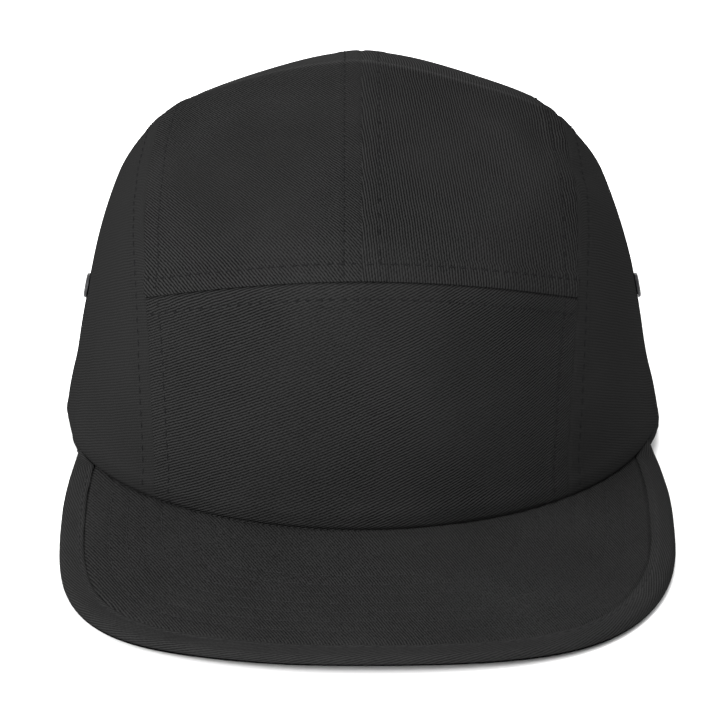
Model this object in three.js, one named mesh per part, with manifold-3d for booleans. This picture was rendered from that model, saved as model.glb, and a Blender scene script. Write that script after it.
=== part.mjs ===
// A five panel cap: a crown of one front, two top and two side panels, a bound visor, four vents,
// an inside band and a strap across the arched opening at the back.
// Lengths are millimetres. Up is +Z, the cap faces -Y, and left is -X. A "forward" length runs
// toward -Y from the middle of the crown.

import * as THREE from 'three';
import { mergeVertices } from 'three/addons/utils/BufferGeometryUtils.js';
import Module from 'manifold-3d';

const wasm = await Module();
wasm.setup();

// Crown
const CROWN_HALF_WIDTH = 88;
const CROWN_FRONT_REACH = 101;
const CROWN_BACK_REACH = 102;
const CROWN_HEIGHT = 114;
const SHOULDER_RADIUS = 13;
const CLOTH_THICKNESS = 1.6;
const FRONT_RIM_RISE = 11;

// Clearances
const SEAM_GAP = 0.3;
const FIT_GAP = 0.3;
const LAYER_GAP = 0.5;

// Visor
const VISOR_LENGTH = 65.9;
const VISOR_OVERHANG = 0.1;
const VISOR_WIDEST_BACK = 29.6;
const VISOR_THICKNESS = 3.6;
const VISOR_SQUARENESS = 3;
const BINDING_WIDTH = 7;
const BINDING_EDGE_ROUND = 1.5;
const VISOR_REAR_REACH = 151;
const VISOR_TIP_WIDTH = 1.4;

// The visor is sewn to the crown, so its outline is set out from the crown's.
const VISOR_HALF_WIDTH = CROWN_HALF_WIDTH + VISOR_OVERHANG;
const VISOR_FRONT_REACH = CROWN_FRONT_REACH + VISOR_LENGTH;
const VISOR_WIDEST_FORWARD = CROWN_FRONT_REACH - VISOR_WIDEST_BACK;

// Vents
const VENT_HOLE_RADIUS = 2;
const VENT_BARREL_RADIUS = 2.7;
const VENT_FLANGE_RADIUS = 3.75;
const VENT_FLANGE_THICKNESS = 0.6;
const VENT_OVER_BAND = 11;
const VENT_FRONT_FORWARD = 0;
const VENT_SPACING = 28;

// Inside band
const BAND_HEIGHT = 30;
const BAND_THICKNESS = 1.2;
const BAND_SETBACK = 1.5;

// Back opening and strap
const ARCH_HALF_WIDTH = 36;
const ARCH_HEIGHT = 45;
const ARCH_LEG_HEIGHT = 12;
const STRAP_WIDTH = 20;
const STRAP_THICKNESS = 1.6;
const STRAP_LIFT = 4;
const STRAP_TUCK = 9;
const BUCKLE_LENGTH = 8;
const BUCKLE_BAR = 2.2;
const BUCKLE_PLATE = 1.2;
const BUCKLE_PLACE = 14;

// The crown's outline at each height. Heights are shares of the crown's height, the rest are shares of its
// half width and reaches. A squareness of 2 is an ellipse.
const CROWN_LEVELS = [
  { height: 0.00, width: 0.998, front: 1.000, back: 1.000, squareness: 2.00 },
  { height: 0.05, width: 1.004, front: 0.997, back: 0.999, squareness: 2.00 },
  { height: 0.13, width: 0.986, front: 0.988, back: 0.996, squareness: 2.02 },
  { height: 0.20, width: 0.967, front: 0.980, back: 0.990, squareness: 2.06 },
  { height: 0.32, width: 0.944, front: 0.962, back: 0.972, squareness: 2.12 },
  { height: 0.48, width: 0.903, front: 0.930, back: 0.930, squareness: 2.20 },
  { height: 0.63, width: 0.845, front: 0.905, back: 0.870, squareness: 2.24 },
  { height: 0.77, width: 0.770, front: 0.872, back: 0.790, squareness: 2.26 },
  { height: 1.00, width: 0.640, front: 0.790, back: 0.640, squareness: 2.26 },
];

// How far the side seams lie from the middle, as shares of the crown's half width. The turn is the angle up
// from straight forward, over the top and down the back.
const SIDE_SEAM = [
  { turn: -40, share: 0.668 },
  { turn: -24, share: 0.672 },
  { turn: 0, share: 0.686 },
  { turn: 25, share: 0.699 },
  { turn: 52, share: 0.708 },
  { turn: 79, share: 0.698 },
  { turn: 105, share: 0.668 },
  { turn: 143, share: 0.637 },
  { turn: 170, share: 0.614 },
  { turn: 220, share: 0.590 },
];

// The roof falls away from its ridge to the front, to the back and to both sides. Falls are shares of the
// crown's height, at distances that are shares of its reach or half width.
const ROOF = {
  ridgeForward: -0.10, ridgeRound: 0.04,
  frontFall: 0.096, frontCurve: 0.124,
  backFall: 0.179, backCurve: 0.256,
  sideFall: 0.158, sideCurve: 0.143, sideRound: 0.12,
};

// The rim is level at the back and climbs to the front. Places are shares of the crown's front reach.
const RIM = { levelUntil: -0.50, blend: 0.15 };

// The front seam's turn at the middle, and how much lower it is at its two ends.
const FRONT_SEAM = { turn: 26.2, endDrop: 2.0 };

// Corners of a side panel along its seam, as turns.
const SIDE_CORNERS = { front: 50, back: 125 };

// The visor's slope forward, how much less it slopes at its sides, and its arch, which is the fall at the
// full half width as a share of that half width.
const VISOR_FORM = { slope: 0.097, sideLevel: 0.62, arch: 0.091 };

// The binding's rounded outer edge: how far in it starts, as a share of its rounding, at each share of the
// visor's thickness down from its top.
const BINDING_EDGE = [
  { drop: 0.00, inset: 1.0 },
  { drop: 0.22, inset: 0.3 },
  { drop: 0.50, inset: 0.0 },
  { drop: 0.78, inset: 0.3 },
  { drop: 1.00, inset: 1.0 },
];

// Points on the middle line that the crown's face is found from, as shares of the crown's height.
const PIVOT = { panels: 0.35, sides: 0.25 };

// Turns between which each end of the rim lies.
const RIM_SEARCH = { front: [-60, 0], back: [170, 240] };

const GRID = {
  front: { across: 28, along: 12 },
  top: { across: 9, along: 32 },
  side: { across: 20, along: 13 },
  visor: { across: 40, along: 6 },
  binding: { along: 48 },
  band: { along: 56, up: 2 },
  strap: { along: 16, up: 1 },
  vent: { around: 18 },
  arch: { curve: 10 },
  outline: { steps: 90 },
};

const CLOTH = { color: 0x24242a, roughness: 0.95, metalness: 0 };
const BINDING = { color: 0x2b2b31, roughness: 0.95, metalness: 0 };
const VENT_METAL = { color: 0x17171a, roughness: 0.4, metalness: 0.8 };
const BUCKLE_METAL = { color: 0x1b1b1e, roughness: 0.45, metalness: 0.7 };

const FAR_OUT = 3 * Math.max(CROWN_HALF_WIDTH, CROWN_FRONT_REACH, CROWN_BACK_REACH, CROWN_HEIGHT);
const HALVINGS = 44;
const DEGREE = Math.PI / 180;

// Helpers for numbers and tables

function mix(a, b, share) {
  return a + (b - a) * share;
}

function clamp(value, low, high) {
  return Math.min(Math.max(value, low), high);
}

// A smooth curve through one column of a table.
function column(table, key, name, at) {
  const last = table.length - 1;
  const place = clamp(at, table[0][key], table[last][key]);
  let i = 0;
  while (i < last - 1 && table[i + 1][key] <= place) {
    i += 1;
  }
  const slopeAt = (k) => {
    const before = table[Math.max(k - 1, 0)];
    const after = table[Math.min(k + 1, last)];
    return (after[name] - before[name]) / (after[key] - before[key]);
  };
  const [a, b] = [table[i], table[i + 1]];
  const step = b[key] - a[key];
  const s = (place - a[key]) / step;
  return a[name] * (1 + 2 * s) * (1 - s) ** 2 + step * slopeAt(i) * s * (1 - s) ** 2
    + b[name] * s ** 2 * (3 - 2 * s) + step * slopeAt(i + 1) * s ** 2 * (s - 1);
}

// Where a rising function of one number reaches zero between two values.
function solve(low, high, func) {
  let [a, b] = [low, high];
  for (let n = 0; n < HALVINGS; n += 1) {
    const middle = (a + b) / 2;
    if (func(middle) > 0) {
      b = middle;
    } else {
      a = middle;
    }
  }
  return (a + b) / 2;
}

// A ramp that is zero below, straight above, and rounded over the blend on each side of zero.
function softRamp(at, blend) {
  return Math.abs(at) < blend ? (at + blend) ** 2 / (4 * blend) : Math.max(at, 0);
}

// Points. Inside the helpers a point is { x, f, z } with f forward; it turns into a vector only in a mesh.

function toVector(p) {
  return new THREE.Vector3(p.x, -p.f, p.z);
}

function along(p, direction, distance) {
  return { x: p.x + direction.x * distance, f: p.f + direction.f * distance, z: p.z + direction.z * distance };
}

function unit(p) {
  const length = Math.hypot(p.x, p.f, p.z);
  return { x: p.x / length, f: p.f / length, z: p.z / length };
}

function mixPoints(a, b, share) {
  return { x: mix(a.x, b.x, share), f: mix(a.f, b.f, share), z: mix(a.z, b.z, share) };
}

// The crown's form

function roofHeight(x, f) {
  const ridge = ROOF.ridgeForward * CROWN_FRONT_REACH;
  const round = ROOF.ridgeRound * CROWN_FRONT_REACH;
  const past = Math.hypot(f - ridge, round);
  const ahead = (past + (f - ridge)) / 2 / CROWN_FRONT_REACH;
  const behind = (past - (f - ridge)) / 2 / CROWN_BACK_REACH;
  const aside = x / CROWN_HALF_WIDTH;
  const fall = ROOF.frontFall * ahead + ROOF.frontCurve * ahead ** 2
    + ROOF.backFall * behind + ROOF.backCurve * behind ** 2
    + ROOF.sideFall * (Math.hypot(aside, ROOF.sideRound) - ROOF.sideRound) + ROOF.sideCurve * aside ** 2;
  return CROWN_HEIGHT * (1 - fall);
}

// About the distance outside the crown's outer face, less than zero inside it.
function crownDistance(p) {
  const level = p.z / CROWN_HEIGHT;
  const at = (name) => column(CROWN_LEVELS, 'height', name, level);
  const reach = p.f > 0 ? CROWN_FRONT_REACH * at('front') : CROWN_BACK_REACH * at('back');
  const squareness = at('squareness');
  const across = Math.abs(p.x) / (CROWN_HALF_WIDTH * at('width'));
  const outward = (across ** squareness + (Math.abs(p.f) / reach) ** squareness) ** (1 / squareness);
  const wall = (outward - 1) * CROWN_HALF_WIDTH;
  const roof = p.z - roofHeight(p.x, p.f);
  const r = SHOULDER_RADIUS;
  return Math.hypot(Math.max(wall + r, 0), Math.max(roof + r, 0)) - r;
}

function crownNormal(p) {
  const step = 0.05;
  const distanceAt = (direction, way) => crownDistance(along(p, direction, way));
  const slope = (direction) => distanceAt(direction, step) - distanceAt(direction, -step);
  return unit({
    x: slope({ x: 1, f: 0, z: 0 }),
    f: slope({ x: 0, f: 1, z: 0 }),
    z: slope({ x: 0, f: 0, z: 1 }),
  });
}

function castOut(start, direction) {
  const way = unit(direction);
  return along(start, way, solve(0, FAR_OUT, (distance) => crownDistance(along(start, way, distance))));
}

function rimHeight(f) {
  const start = RIM.levelUntil * CROWN_FRONT_REACH;
  const blend = RIM.blend * CROWN_FRONT_REACH;
  return FRONT_RIM_RISE * softRamp(f - start, blend) / (CROWN_FRONT_REACH - start);
}

function seamOffset(turn) {
  return CROWN_HALF_WIDTH * column(SIDE_SEAM, 'turn', 'share', turn);
}

// The point of the crown's face at a distance from the middle and a turn over the top.
function crownPoint(x, turn) {
  const angle = turn * DEGREE;
  const start = { x, f: 0, z: PIVOT.panels * CROWN_HEIGHT };
  return castOut(start, { x: 0, f: Math.cos(angle), z: Math.sin(angle) });
}

// The turns at which a line over the crown meets the rim. The line is its distance from the middle at a turn.
function frontRimTurn(line) {
  return solve(...RIM_SEARCH.front, (turn) => {
    const p = crownPoint(line(turn), turn);
    return p.z - rimHeight(p.f);
  });
}

function backRimTurn(line) {
  return solve(...RIM_SEARCH.back, (turn) => {
    const p = crownPoint(line(turn), turn);
    return rimHeight(p.f) - p.z;
  });
}

// The front seam's turn, where the share runs from the middle to one or minus one at its ends.
function frontSeamTurn(share) {
  return FRONT_SEAM.turn - FRONT_SEAM.endDrop * share ** 2;
}

// Half the seam gap, as a turn at the crown's front.
const HALF_GAP_TURN = SEAM_GAP / 2 / CROWN_FRONT_REACH / DEGREE;

// The point of the rim in a plan direction. An angle of zero is forward and grows toward +X.
function rimPoint(angle) {
  const way = { x: Math.sin(angle), f: Math.cos(angle), z: 0 };
  const reach = solve(0, FAR_OUT, (distance) => {
    const f = way.f * distance;
    return crownDistance({ x: way.x * distance, f, z: rimHeight(f) });
  });
  const f = way.f * reach;
  return { x: way.x * reach, f, z: rimHeight(f) };
}

// The same point moved in from the outer face. A rim point keeps its height, so the hem stays level.
function inward(p, depth, onRim) {
  const normal = crownNormal(p);
  if (onRim) {
    const level = unit({ x: normal.x, f: normal.f, z: 0 });
    return along(p, level, -depth);
  }
  return along(p, normal, -depth);
}

// Meshes

function grid(rows, columns, makePoint) {
  return Array.from({ length: rows + 1 }, (_, i) => Array.from({ length: columns + 1 },
    (__, j) => makePoint(i / rows, j / columns)));
}

function signedVolume(vertices, faces) {
  let sum = 0;
  for (const [a, b, c] of faces) {
    sum += vertices[a].dot(new THREE.Vector3().crossVectors(vertices[b], vertices[c]));
  }
  return sum / 6;
}

function closedGeometry(vertices, faces) {
  const outward = signedVolume(vertices, faces) > 0 ? faces : faces.map(([a, b, c]) => [a, c, b]);
  const geometry = new THREE.BufferGeometry();
  geometry.setAttribute('position', new THREE.Float32BufferAttribute(vertices.flatMap((v) => v.toArray()), 3));
  geometry.setIndex(outward.flat());
  geometry.computeVertexNormals();
  return geometry;
}

function quad(a, b, c, d) {
  return [[a, b, c], [a, c, d]];
}

// A sheet with two faces given as grids of points, sewn together round its border.
function sheetGeometry(outer, inner) {
  const rows = outer.length;
  const columns = outer[0].length;
  const vertices = [...outer.flat(), ...inner.flat()].map(toVector);
  const back = rows * columns;
  const id = (i, j) => i * columns + j;
  const faces = [];
  for (let i = 0; i < rows - 1; i += 1) {
    for (let j = 0; j < columns - 1; j += 1) {
      const corners = [id(i, j), id(i + 1, j), id(i + 1, j + 1), id(i, j + 1)];
      faces.push(...quad(...corners));
      faces.push(...quad(...corners.map((k) => k + back).reverse()));
    }
  }
  const border = [];
  for (let j = 0; j < columns - 1; j += 1) {
    border.push([id(0, j), id(0, j + 1)], [id(rows - 1, j + 1), id(rows - 1, j)]);
  }
  for (let i = 0; i < rows - 1; i += 1) {
    border.push([id(i + 1, 0), id(i, 0)], [id(i, columns - 1), id(i + 1, columns - 1)]);
  }
  for (const [a, b] of border) {
    faces.push(...quad(a, b, b + back, a + back));
  }
  return closedGeometry(vertices, faces);
}

// A bar through a row of sections, each a convex ring of as many points.
function barGeometry(sections) {
  const count = sections[0].length;
  const vertices = sections.flat().map(toVector);
  const faces = [];
  for (let i = 0; i < sections.length - 1; i += 1) {
    for (let j = 0; j < count; j += 1) {
      const next = (j + 1) % count;
      const [a, b] = [i * count, (i + 1) * count];
      faces.push(...quad(a + j, b + j, b + next, a + next));
    }
  }
  const end = (sections.length - 1) * count;
  for (let j = 1; j < count - 1; j += 1) {
    faces.push([0, j, j + 1], [end, end + j + 1, end + j]);
  }
  return closedGeometry(vertices, faces);
}

function solidOf(geometry) {
  const bare = geometry.clone();
  bare.deleteAttribute('normal');
  bare.deleteAttribute('uv');
  const merged = mergeVertices(bare, 1e-4);
  return new wasm.Manifold(new wasm.Mesh({
    numProp: 3,
    vertProperties: new Float32Array(merged.attributes.position.array),
    triVerts: new Uint32Array(merged.index.array),
  }));
}

function geometryOf(solid) {
  const mesh = solid.getMesh();
  const geometry = new THREE.BufferGeometry();
  geometry.setAttribute('position', new THREE.BufferAttribute(new Float32Array(mesh.vertProperties), 3));
  geometry.setIndex(new THREE.BufferAttribute(new Uint32Array(mesh.triVerts), 1));
  geometry.computeVertexNormals();
  return geometry;
}

function cutAway(geometry, cutters) {
  return geometryOf(cutters.reduce((solid, cutter) => solid.subtract(solidOf(cutter)), solidOf(geometry)));
}

function piece(name, geometry, look) {
  const mesh = new THREE.Mesh(geometry, new THREE.MeshStandardMaterial(look));
  mesh.name = name;
  return mesh;
}

// Crown panels

// Both faces of a panel, from a function that gives its outer face. The rim test tells which points are
// on the hem.
function panelGeometry(size, outerPoint, isOnRim) {
  const outer = grid(size.along, size.across, outerPoint);
  const inner = outer.map((row, i) => row.map((p, j) => inward(p, CLOTH_THICKNESS,
    isOnRim(i / size.along, j / size.across))));
  return sheetGeometry(outer, inner);
}

function frontPanel() {
  const outerPoint = (up, across) => {
    const share = mix(-1, 1, across);
    const line = (turn) => share * (seamOffset(turn) - SEAM_GAP / 2);
    const turn = mix(frontRimTurn(line), frontSeamTurn(share) - HALF_GAP_TURN, up);
    return crownPoint(line(turn), turn);
  };
  return panelGeometry(GRID.front, outerPoint, (up) => up === 0);
}

function archCutter() {
  const shape = new THREE.Shape();
  const legTop = Math.min(ARCH_LEG_HEIGHT, ARCH_HEIGHT / 2);
  const under = -CLOTH_THICKNESS;
  shape.moveTo(-ARCH_HALF_WIDTH, under);
  shape.lineTo(ARCH_HALF_WIDTH, under);
  shape.lineTo(ARCH_HALF_WIDTH, legTop);
  shape.absellipse(0, legTop, ARCH_HALF_WIDTH, ARCH_HEIGHT - legTop, 0, Math.PI, false, 0);
  shape.lineTo(-ARCH_HALF_WIDTH, under);
  const cutter = new THREE.ExtrudeGeometry(shape, {
    depth: 2 * CROWN_BACK_REACH, bevelEnabled: false, curveSegments: GRID.arch.curve,
  });
  cutter.rotateX(Math.PI / 2);
  cutter.translate(0, 2 * CROWN_BACK_REACH + CROWN_BACK_REACH / 2, 0);
  return cutter;
}

function topPanel(side) {
  const outerPoint = (back, share) => {
    const line = (turn) => side * mix(SEAM_GAP / 2, seamOffset(turn) - SEAM_GAP / 2, share);
    const turn = mix(frontSeamTurn(share) + HALF_GAP_TURN, backRimTurn(line), back);
    return crownPoint(line(turn), turn);
  };
  const panel = panelGeometry(GRID.top, outerPoint, (back) => back === 1);
  return cutAway(panel, [archCutter()]);
}

// A side panel has four edges: the rim, the seam's front stretch, its stretch over the top and its back
// stretch. A point inside follows all four, and is then moved out to the crown's face.
function sidePanelPoint(side) {
  const line = (turn) => side * (seamOffset(turn) + SEAM_GAP / 2);
  const seam = (turn) => crownPoint(line(turn), turn);
  const [frontTurn, backTurn] = [frontRimTurn(line), backRimTurn(line)];
  const [frontAngle, backAngle] = [frontTurn, backTurn].map((turn) => {
    const p = seam(turn);
    return Math.atan2(p.x, p.f);
  });
  const rim = (u) => rimPoint(mix(frontAngle, backAngle, u));
  const over = (u) => seam(mix(SIDE_CORNERS.front, SIDE_CORNERS.back, u));
  const front = (v) => seam(mix(frontTurn, SIDE_CORNERS.front, v));
  const back = (v) => seam(mix(backTurn, SIDE_CORNERS.back, v));
  const start = { x: 0, f: 0, z: PIVOT.sides * CROWN_HEIGHT };
  return (v, u) => {
    if (v === 0) {
      return rim(u);
    }
    const rows = mixPoints(rim(u), over(u), v);
    const columns = mixPoints(front(v), back(v), u);
    const low = mixPoints(rim(0), rim(1), u);
    const high = mixPoints(over(0), over(1), u);
    const target = along(along(rows, columns, 1), mixPoints(low, high, v), -1);
    return castOut(start, { x: target.x, f: target.f, z: target.z - start.z });
  };
}

function sidePanel(side) {
  const panel = panelGeometry(GRID.side, sidePanelPoint(side), (v) => v === 0);
  return cutAway(panel, ventPlaces(side).map(ventHole));
}

// Vents

// Each vent sits on the crown's face over the inside band, with its axis square to the cloth.
function ventPlaces(side) {
  return [0, VENT_SPACING].map((back) => {
    const f = VENT_FRONT_FORWARD - back;
    const z = rimHeight(f) + BAND_SETBACK + BAND_HEIGHT + VENT_OVER_BAND;
    const place = castOut({ x: 0, f, z }, { x: side, f: 0, z: 0 });
    return { place, normal: crownNormal(place) };
  });
}

function turnToNormal(geometry, { place, normal }) {
  const turn = new THREE.Quaternion().setFromUnitVectors(new THREE.Vector3(0, 1, 0), toVector(normal));
  geometry.applyQuaternion(turn);
  const at = toVector(place);
  geometry.translate(at.x, at.y, at.z);
  return geometry;
}

function ventHole(seat) {
  const length = 2 * (CLOTH_THICKNESS + VENT_FLANGE_RADIUS);
  const radius = VENT_BARREL_RADIUS + FIT_GAP;
  return turnToNormal(new THREE.CylinderGeometry(radius, radius, length, GRID.vent.around), seat);
}

function vent(seat) {
  const under = FIT_GAP;
  const top = under + VENT_FLANGE_THICKNESS;
  const inside = -CLOTH_THICKNESS - FIT_GAP;
  const bottom = inside - VENT_FLANGE_THICKNESS;
  const round = VENT_FLANGE_THICKNESS / 2;
  const profile = [
    [VENT_HOLE_RADIUS, bottom],
    [VENT_FLANGE_RADIUS, bottom],
    [VENT_FLANGE_RADIUS, inside],
    [VENT_BARREL_RADIUS, inside],
    [VENT_BARREL_RADIUS, under],
    [VENT_FLANGE_RADIUS, under],
    [VENT_FLANGE_RADIUS - round, top],
    [VENT_HOLE_RADIUS + round, top],
    [VENT_HOLE_RADIUS, under],
    [VENT_HOLE_RADIUS, bottom],
  ].map(([radius, height]) => new THREE.Vector2(radius, height));
  return turnToNormal(geometryOf(solidOf(new THREE.LatheGeometry(profile, GRID.vent.around))), seat);
}

// Visor

// The outline in plan, round the visor's widest line. An angle of zero is forward.
function visorOutline(angle) {
  const [s, c] = [Math.sin(angle), Math.cos(angle)];
  const reach = c > 0 ? VISOR_FRONT_REACH - VISOR_WIDEST_FORWARD : VISOR_REAR_REACH;
  const squareness = c > 0 ? VISOR_SQUARENESS : 2;
  const shares = (Math.abs(s) / VISOR_HALF_WIDTH) ** squareness + (Math.abs(c) / reach) ** squareness;
  const radius = shares ** (-1 / squareness);
  return { x: radius * s, f: VISOR_WIDEST_FORWARD + radius * c, z: 0 };
}

function visorInward(angle) {
  const step = 0.01;
  const [a, b] = [visorOutline(angle - step), visorOutline(angle + step)];
  return unit({ x: -(a.f - b.f), f: a.x - b.x, z: 0 });
}

// The visor's form before it is set on the floor: it slopes forward, and arches across.
function visorForm(x, f) {
  const aside = (x / VISOR_HALF_WIDTH) ** 2;
  const slope = VISOR_FORM.slope * (1 - VISOR_FORM.sideLevel * aside);
  return -slope * (f - CROWN_FRONT_REACH) - VISOR_FORM.arch * VISOR_HALF_WIDTH * aside;
}

// The lowest point of the outline touches the floor. One quarter of the outline is enough to find it.
const VISOR_LOWEST = Math.min(...Array.from({ length: GRID.outline.steps + 1 }, (_, i) => {
  const p = visorOutline(i / GRID.outline.steps * Math.PI / 2);
  return visorForm(p.x, p.f);
}));

function visorTop(x, f) {
  return visorForm(x, f) - VISOR_LOWEST + VISOR_THICKNESS;
}

// How far from a point of the outline the crown's face lies, going inward and stopping short by the gap.
function widthToCrown(p, way, height) {
  return solve(0, FAR_OUT / 3, (distance) => {
    const q = along(p, way, distance);
    return FIT_GAP - crownDistance({ x: q.x, f: q.f, z: height });
  });
}

// The outline's angle at which the space between it and the crown closes to the tip width. The margin is
// left out along the outline's edge.
function visorEndAngle(margin) {
  return solve(Math.PI / 2, Math.PI * 0.9, (angle) => {
    const way = visorInward(angle);
    const p = along(visorOutline(angle), way, margin);
    const inside = crownDistance({ x: p.x, f: p.f, z: visorTop(p.x, p.f) }) < FIT_GAP;
    return inside ? 1 : VISOR_TIP_WIDTH - widthToCrown(p, way, visorTop(p.x, p.f));
  });
}

function visorPlate() {
  const margin = BINDING_WIDTH + FIT_GAP;
  const end = visorEndAngle(margin);
  const middle = { x: 0, f: 0, z: 0 };
  const face = (drop) => grid(GRID.visor.along, GRID.visor.across, (out, across) => {
    const angle = mix(-end, end, across);
    const edge = along(visorOutline(angle), visorInward(angle), margin);
    const way = unit({ x: middle.x - edge.x, f: middle.f - edge.f, z: 0 });
    const height = visorTop(edge.x, edge.f) - drop;
    const width = widthToCrown(edge, way, height);
    const p = along(edge, way, width * (1 - out));
    return { x: p.x, f: p.f, z: visorTop(p.x, p.f) - drop };
  });
  return sheetGeometry(face(0), face(VISOR_THICKNESS));
}

function visorBinding() {
  const end = visorEndAngle(0);
  const sections = [];
  for (let i = 0; i <= GRID.binding.along; i += 1) {
    const angle = mix(-end, end, i / GRID.binding.along);
    const way = visorInward(angle);
    const edge = visorOutline(angle);
    const room = widthToCrown(edge, way, visorTop(edge.x, edge.f));
    const width = Math.min(BINDING_WIDTH, room);
    const round = Math.min(BINDING_EDGE_ROUND, width / 2);
    const at = (inset, drop) => {
      const p = along(edge, way, inset);
      return { x: p.x, f: p.f, z: visorTop(p.x, p.f) - drop };
    };
    const edgePoints = BINDING_EDGE.map(({ drop, inset }) => at(round * inset, VISOR_THICKNESS * drop));
    sections.push([at(width, 0), ...edgePoints, at(width, VISOR_THICKNESS)]);
  }
  return barGeometry(sections);
}

// Inside band and strap

// The plan angle where the rim passes a distance from the middle, at the back.
function backAngle(x) {
  return solve(-Math.PI, -Math.PI / 2, (angle) => -rimPoint(angle).x - x);
}

// A point inside the crown, in a plan direction, at a height over the rim and a depth under the outer face.
function insideWall(angle, rise, depth) {
  const rim = rimPoint(angle);
  const face = castOut({ x: 0, f: 0, z: rim.z + rise }, { x: rim.x, f: rim.f, z: 0 });
  return inward(face, depth, true);
}

// A strip of cloth that lies against the inside of the crown, between two plan angles.
function insideStrip(size, fromAngle, toAngle, bottom, height, thickness) {
  const face = (depth) => grid(size.up, size.along, (up, share) => insideWall(
    mix(fromAngle, toAngle, share), bottom + height * up, depth));
  const outerDepth = CLOTH_THICKNESS + LAYER_GAP;
  return sheetGeometry(face(outerDepth), face(outerDepth + thickness));
}

function sweatband() {
  const end = backAngle(ARCH_HALF_WIDTH + STRAP_TUCK + FIT_GAP);
  return insideStrip(GRID.band, end, -end, BAND_SETBACK, BAND_HEIGHT, BAND_THICKNESS);
}

function backStrap() {
  const end = backAngle(ARCH_HALF_WIDTH + STRAP_TUCK);
  return insideStrip(GRID.strap, end, -end - 2 * Math.PI, STRAP_LIFT, STRAP_WIDTH, STRAP_THICKNESS);
}

function rectangle(shape, halfWidth, halfHeight) {
  shape.moveTo(-halfWidth, -halfHeight);
  shape.lineTo(halfWidth, -halfHeight);
  shape.lineTo(halfWidth, halfHeight);
  shape.lineTo(-halfWidth, halfHeight);
  shape.closePath();
  return shape;
}

// A flat loop round the strap, seen along it: a frame with the strap's section and its clearance cut out.
function strapBuckle() {
  const holeDepth = STRAP_THICKNESS / 2 + LAYER_GAP;
  const holeHeight = STRAP_WIDTH / 2 + FIT_GAP;
  const frame = rectangle(new THREE.Shape(), holeDepth + BUCKLE_PLATE, holeHeight + BUCKLE_BAR);
  frame.holes.push(rectangle(new THREE.Path(), holeDepth, holeHeight));
  const loop = new THREE.ExtrudeGeometry(frame, { depth: BUCKLE_LENGTH, bevelEnabled: false });
  loop.translate(0, 0, -BUCKLE_LENGTH / 2);

  const angle = backAngle(BUCKLE_PLACE);
  const depth = CLOTH_THICKNESS + LAYER_GAP + STRAP_THICKNESS / 2;
  const low = toVector(insideWall(angle, STRAP_LIFT, depth));
  const high = toVector(insideWall(angle, STRAP_LIFT + STRAP_WIDTH, depth));
  const up = high.clone().sub(low).normalize();
  const out = low.clone().setZ(0).cross(up).cross(up).negate().normalize();
  const turn = new THREE.Matrix4().makeBasis(out, up, new THREE.Vector3().crossVectors(out, up));
  loop.applyMatrix4(turn.setPosition(low.lerp(high, 0.5)));
  return geometryOf(solidOf(loop));
}

// The whole cap

function buildCap() {
  const cap = new THREE.Group();
  cap.add(piece('front_panel', frontPanel(), CLOTH));
  for (const [name, side] of [['left', -1], ['right', 1]]) {
    cap.add(piece(`top_panel_${name}`, topPanel(side), CLOTH));
    cap.add(piece(`side_panel_${name}`, sidePanel(side), CLOTH));
    ventPlaces(side).forEach((seat, i) => {
      cap.add(piece(`eyelet_${name}_${['front', 'back'][i]}`, vent(seat), VENT_METAL));
    });
  }
  cap.add(piece('visor', visorPlate(), CLOTH));
  cap.add(piece('visor_binding', visorBinding(), BINDING));
  cap.add(piece('sweatband', sweatband(), CLOTH));
  cap.add(piece('back_strap', backStrap(), CLOTH));
  cap.add(piece('strap_buckle', strapBuckle(), BUCKLE_METAL));

  const box = new THREE.Box3().setFromObject(cap);
  const middle = box.getCenter(new THREE.Vector3());
  cap.position.set(-middle.x, -middle.y, -box.min.z);
  return cap;
}

const model = new THREE.Group();
model.add(buildCap());

export default model;
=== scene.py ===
"""A five panel cap in black twill, dressed over its fixed frame.

Lengths are metres, up is +Z, and the cap faces -Y. A point of the cap is held as (x, forward, z), where
forward runs toward -Y from the middle of the crown, until it goes into a mesh.
"""

import math

import bpy
import numpy as np
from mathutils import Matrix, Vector, bvhtree, kdtree, noise

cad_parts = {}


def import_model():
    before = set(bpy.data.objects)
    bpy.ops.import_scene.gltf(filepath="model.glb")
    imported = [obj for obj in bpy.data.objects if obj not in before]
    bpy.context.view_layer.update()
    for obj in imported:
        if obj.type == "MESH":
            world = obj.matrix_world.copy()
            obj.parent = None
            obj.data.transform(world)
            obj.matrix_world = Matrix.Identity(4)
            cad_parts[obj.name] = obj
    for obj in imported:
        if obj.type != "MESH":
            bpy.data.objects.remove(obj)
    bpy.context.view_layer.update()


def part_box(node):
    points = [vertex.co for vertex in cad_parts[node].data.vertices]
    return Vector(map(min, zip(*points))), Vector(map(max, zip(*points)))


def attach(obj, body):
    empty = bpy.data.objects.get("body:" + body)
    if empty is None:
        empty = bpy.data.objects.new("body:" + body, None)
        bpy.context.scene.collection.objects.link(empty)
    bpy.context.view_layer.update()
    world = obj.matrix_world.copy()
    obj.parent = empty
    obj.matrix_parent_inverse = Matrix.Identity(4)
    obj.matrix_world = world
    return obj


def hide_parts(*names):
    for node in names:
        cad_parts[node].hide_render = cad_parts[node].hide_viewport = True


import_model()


def records(names, *rows):
    """A table: rows of values under the names of its columns."""
    return [dict(zip(names.split(), row)) for row in rows]


# Crown
CROWN_HALF_WIDTH = 0.088
CROWN_FRONT_REACH = 0.101
CROWN_BACK_REACH = 0.102
CROWN_HEIGHT = 0.114
SHOULDER_RADIUS = 0.013
CLOTH_THICKNESS = 0.0016
FRONT_RIM_RISE = 0.011

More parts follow.
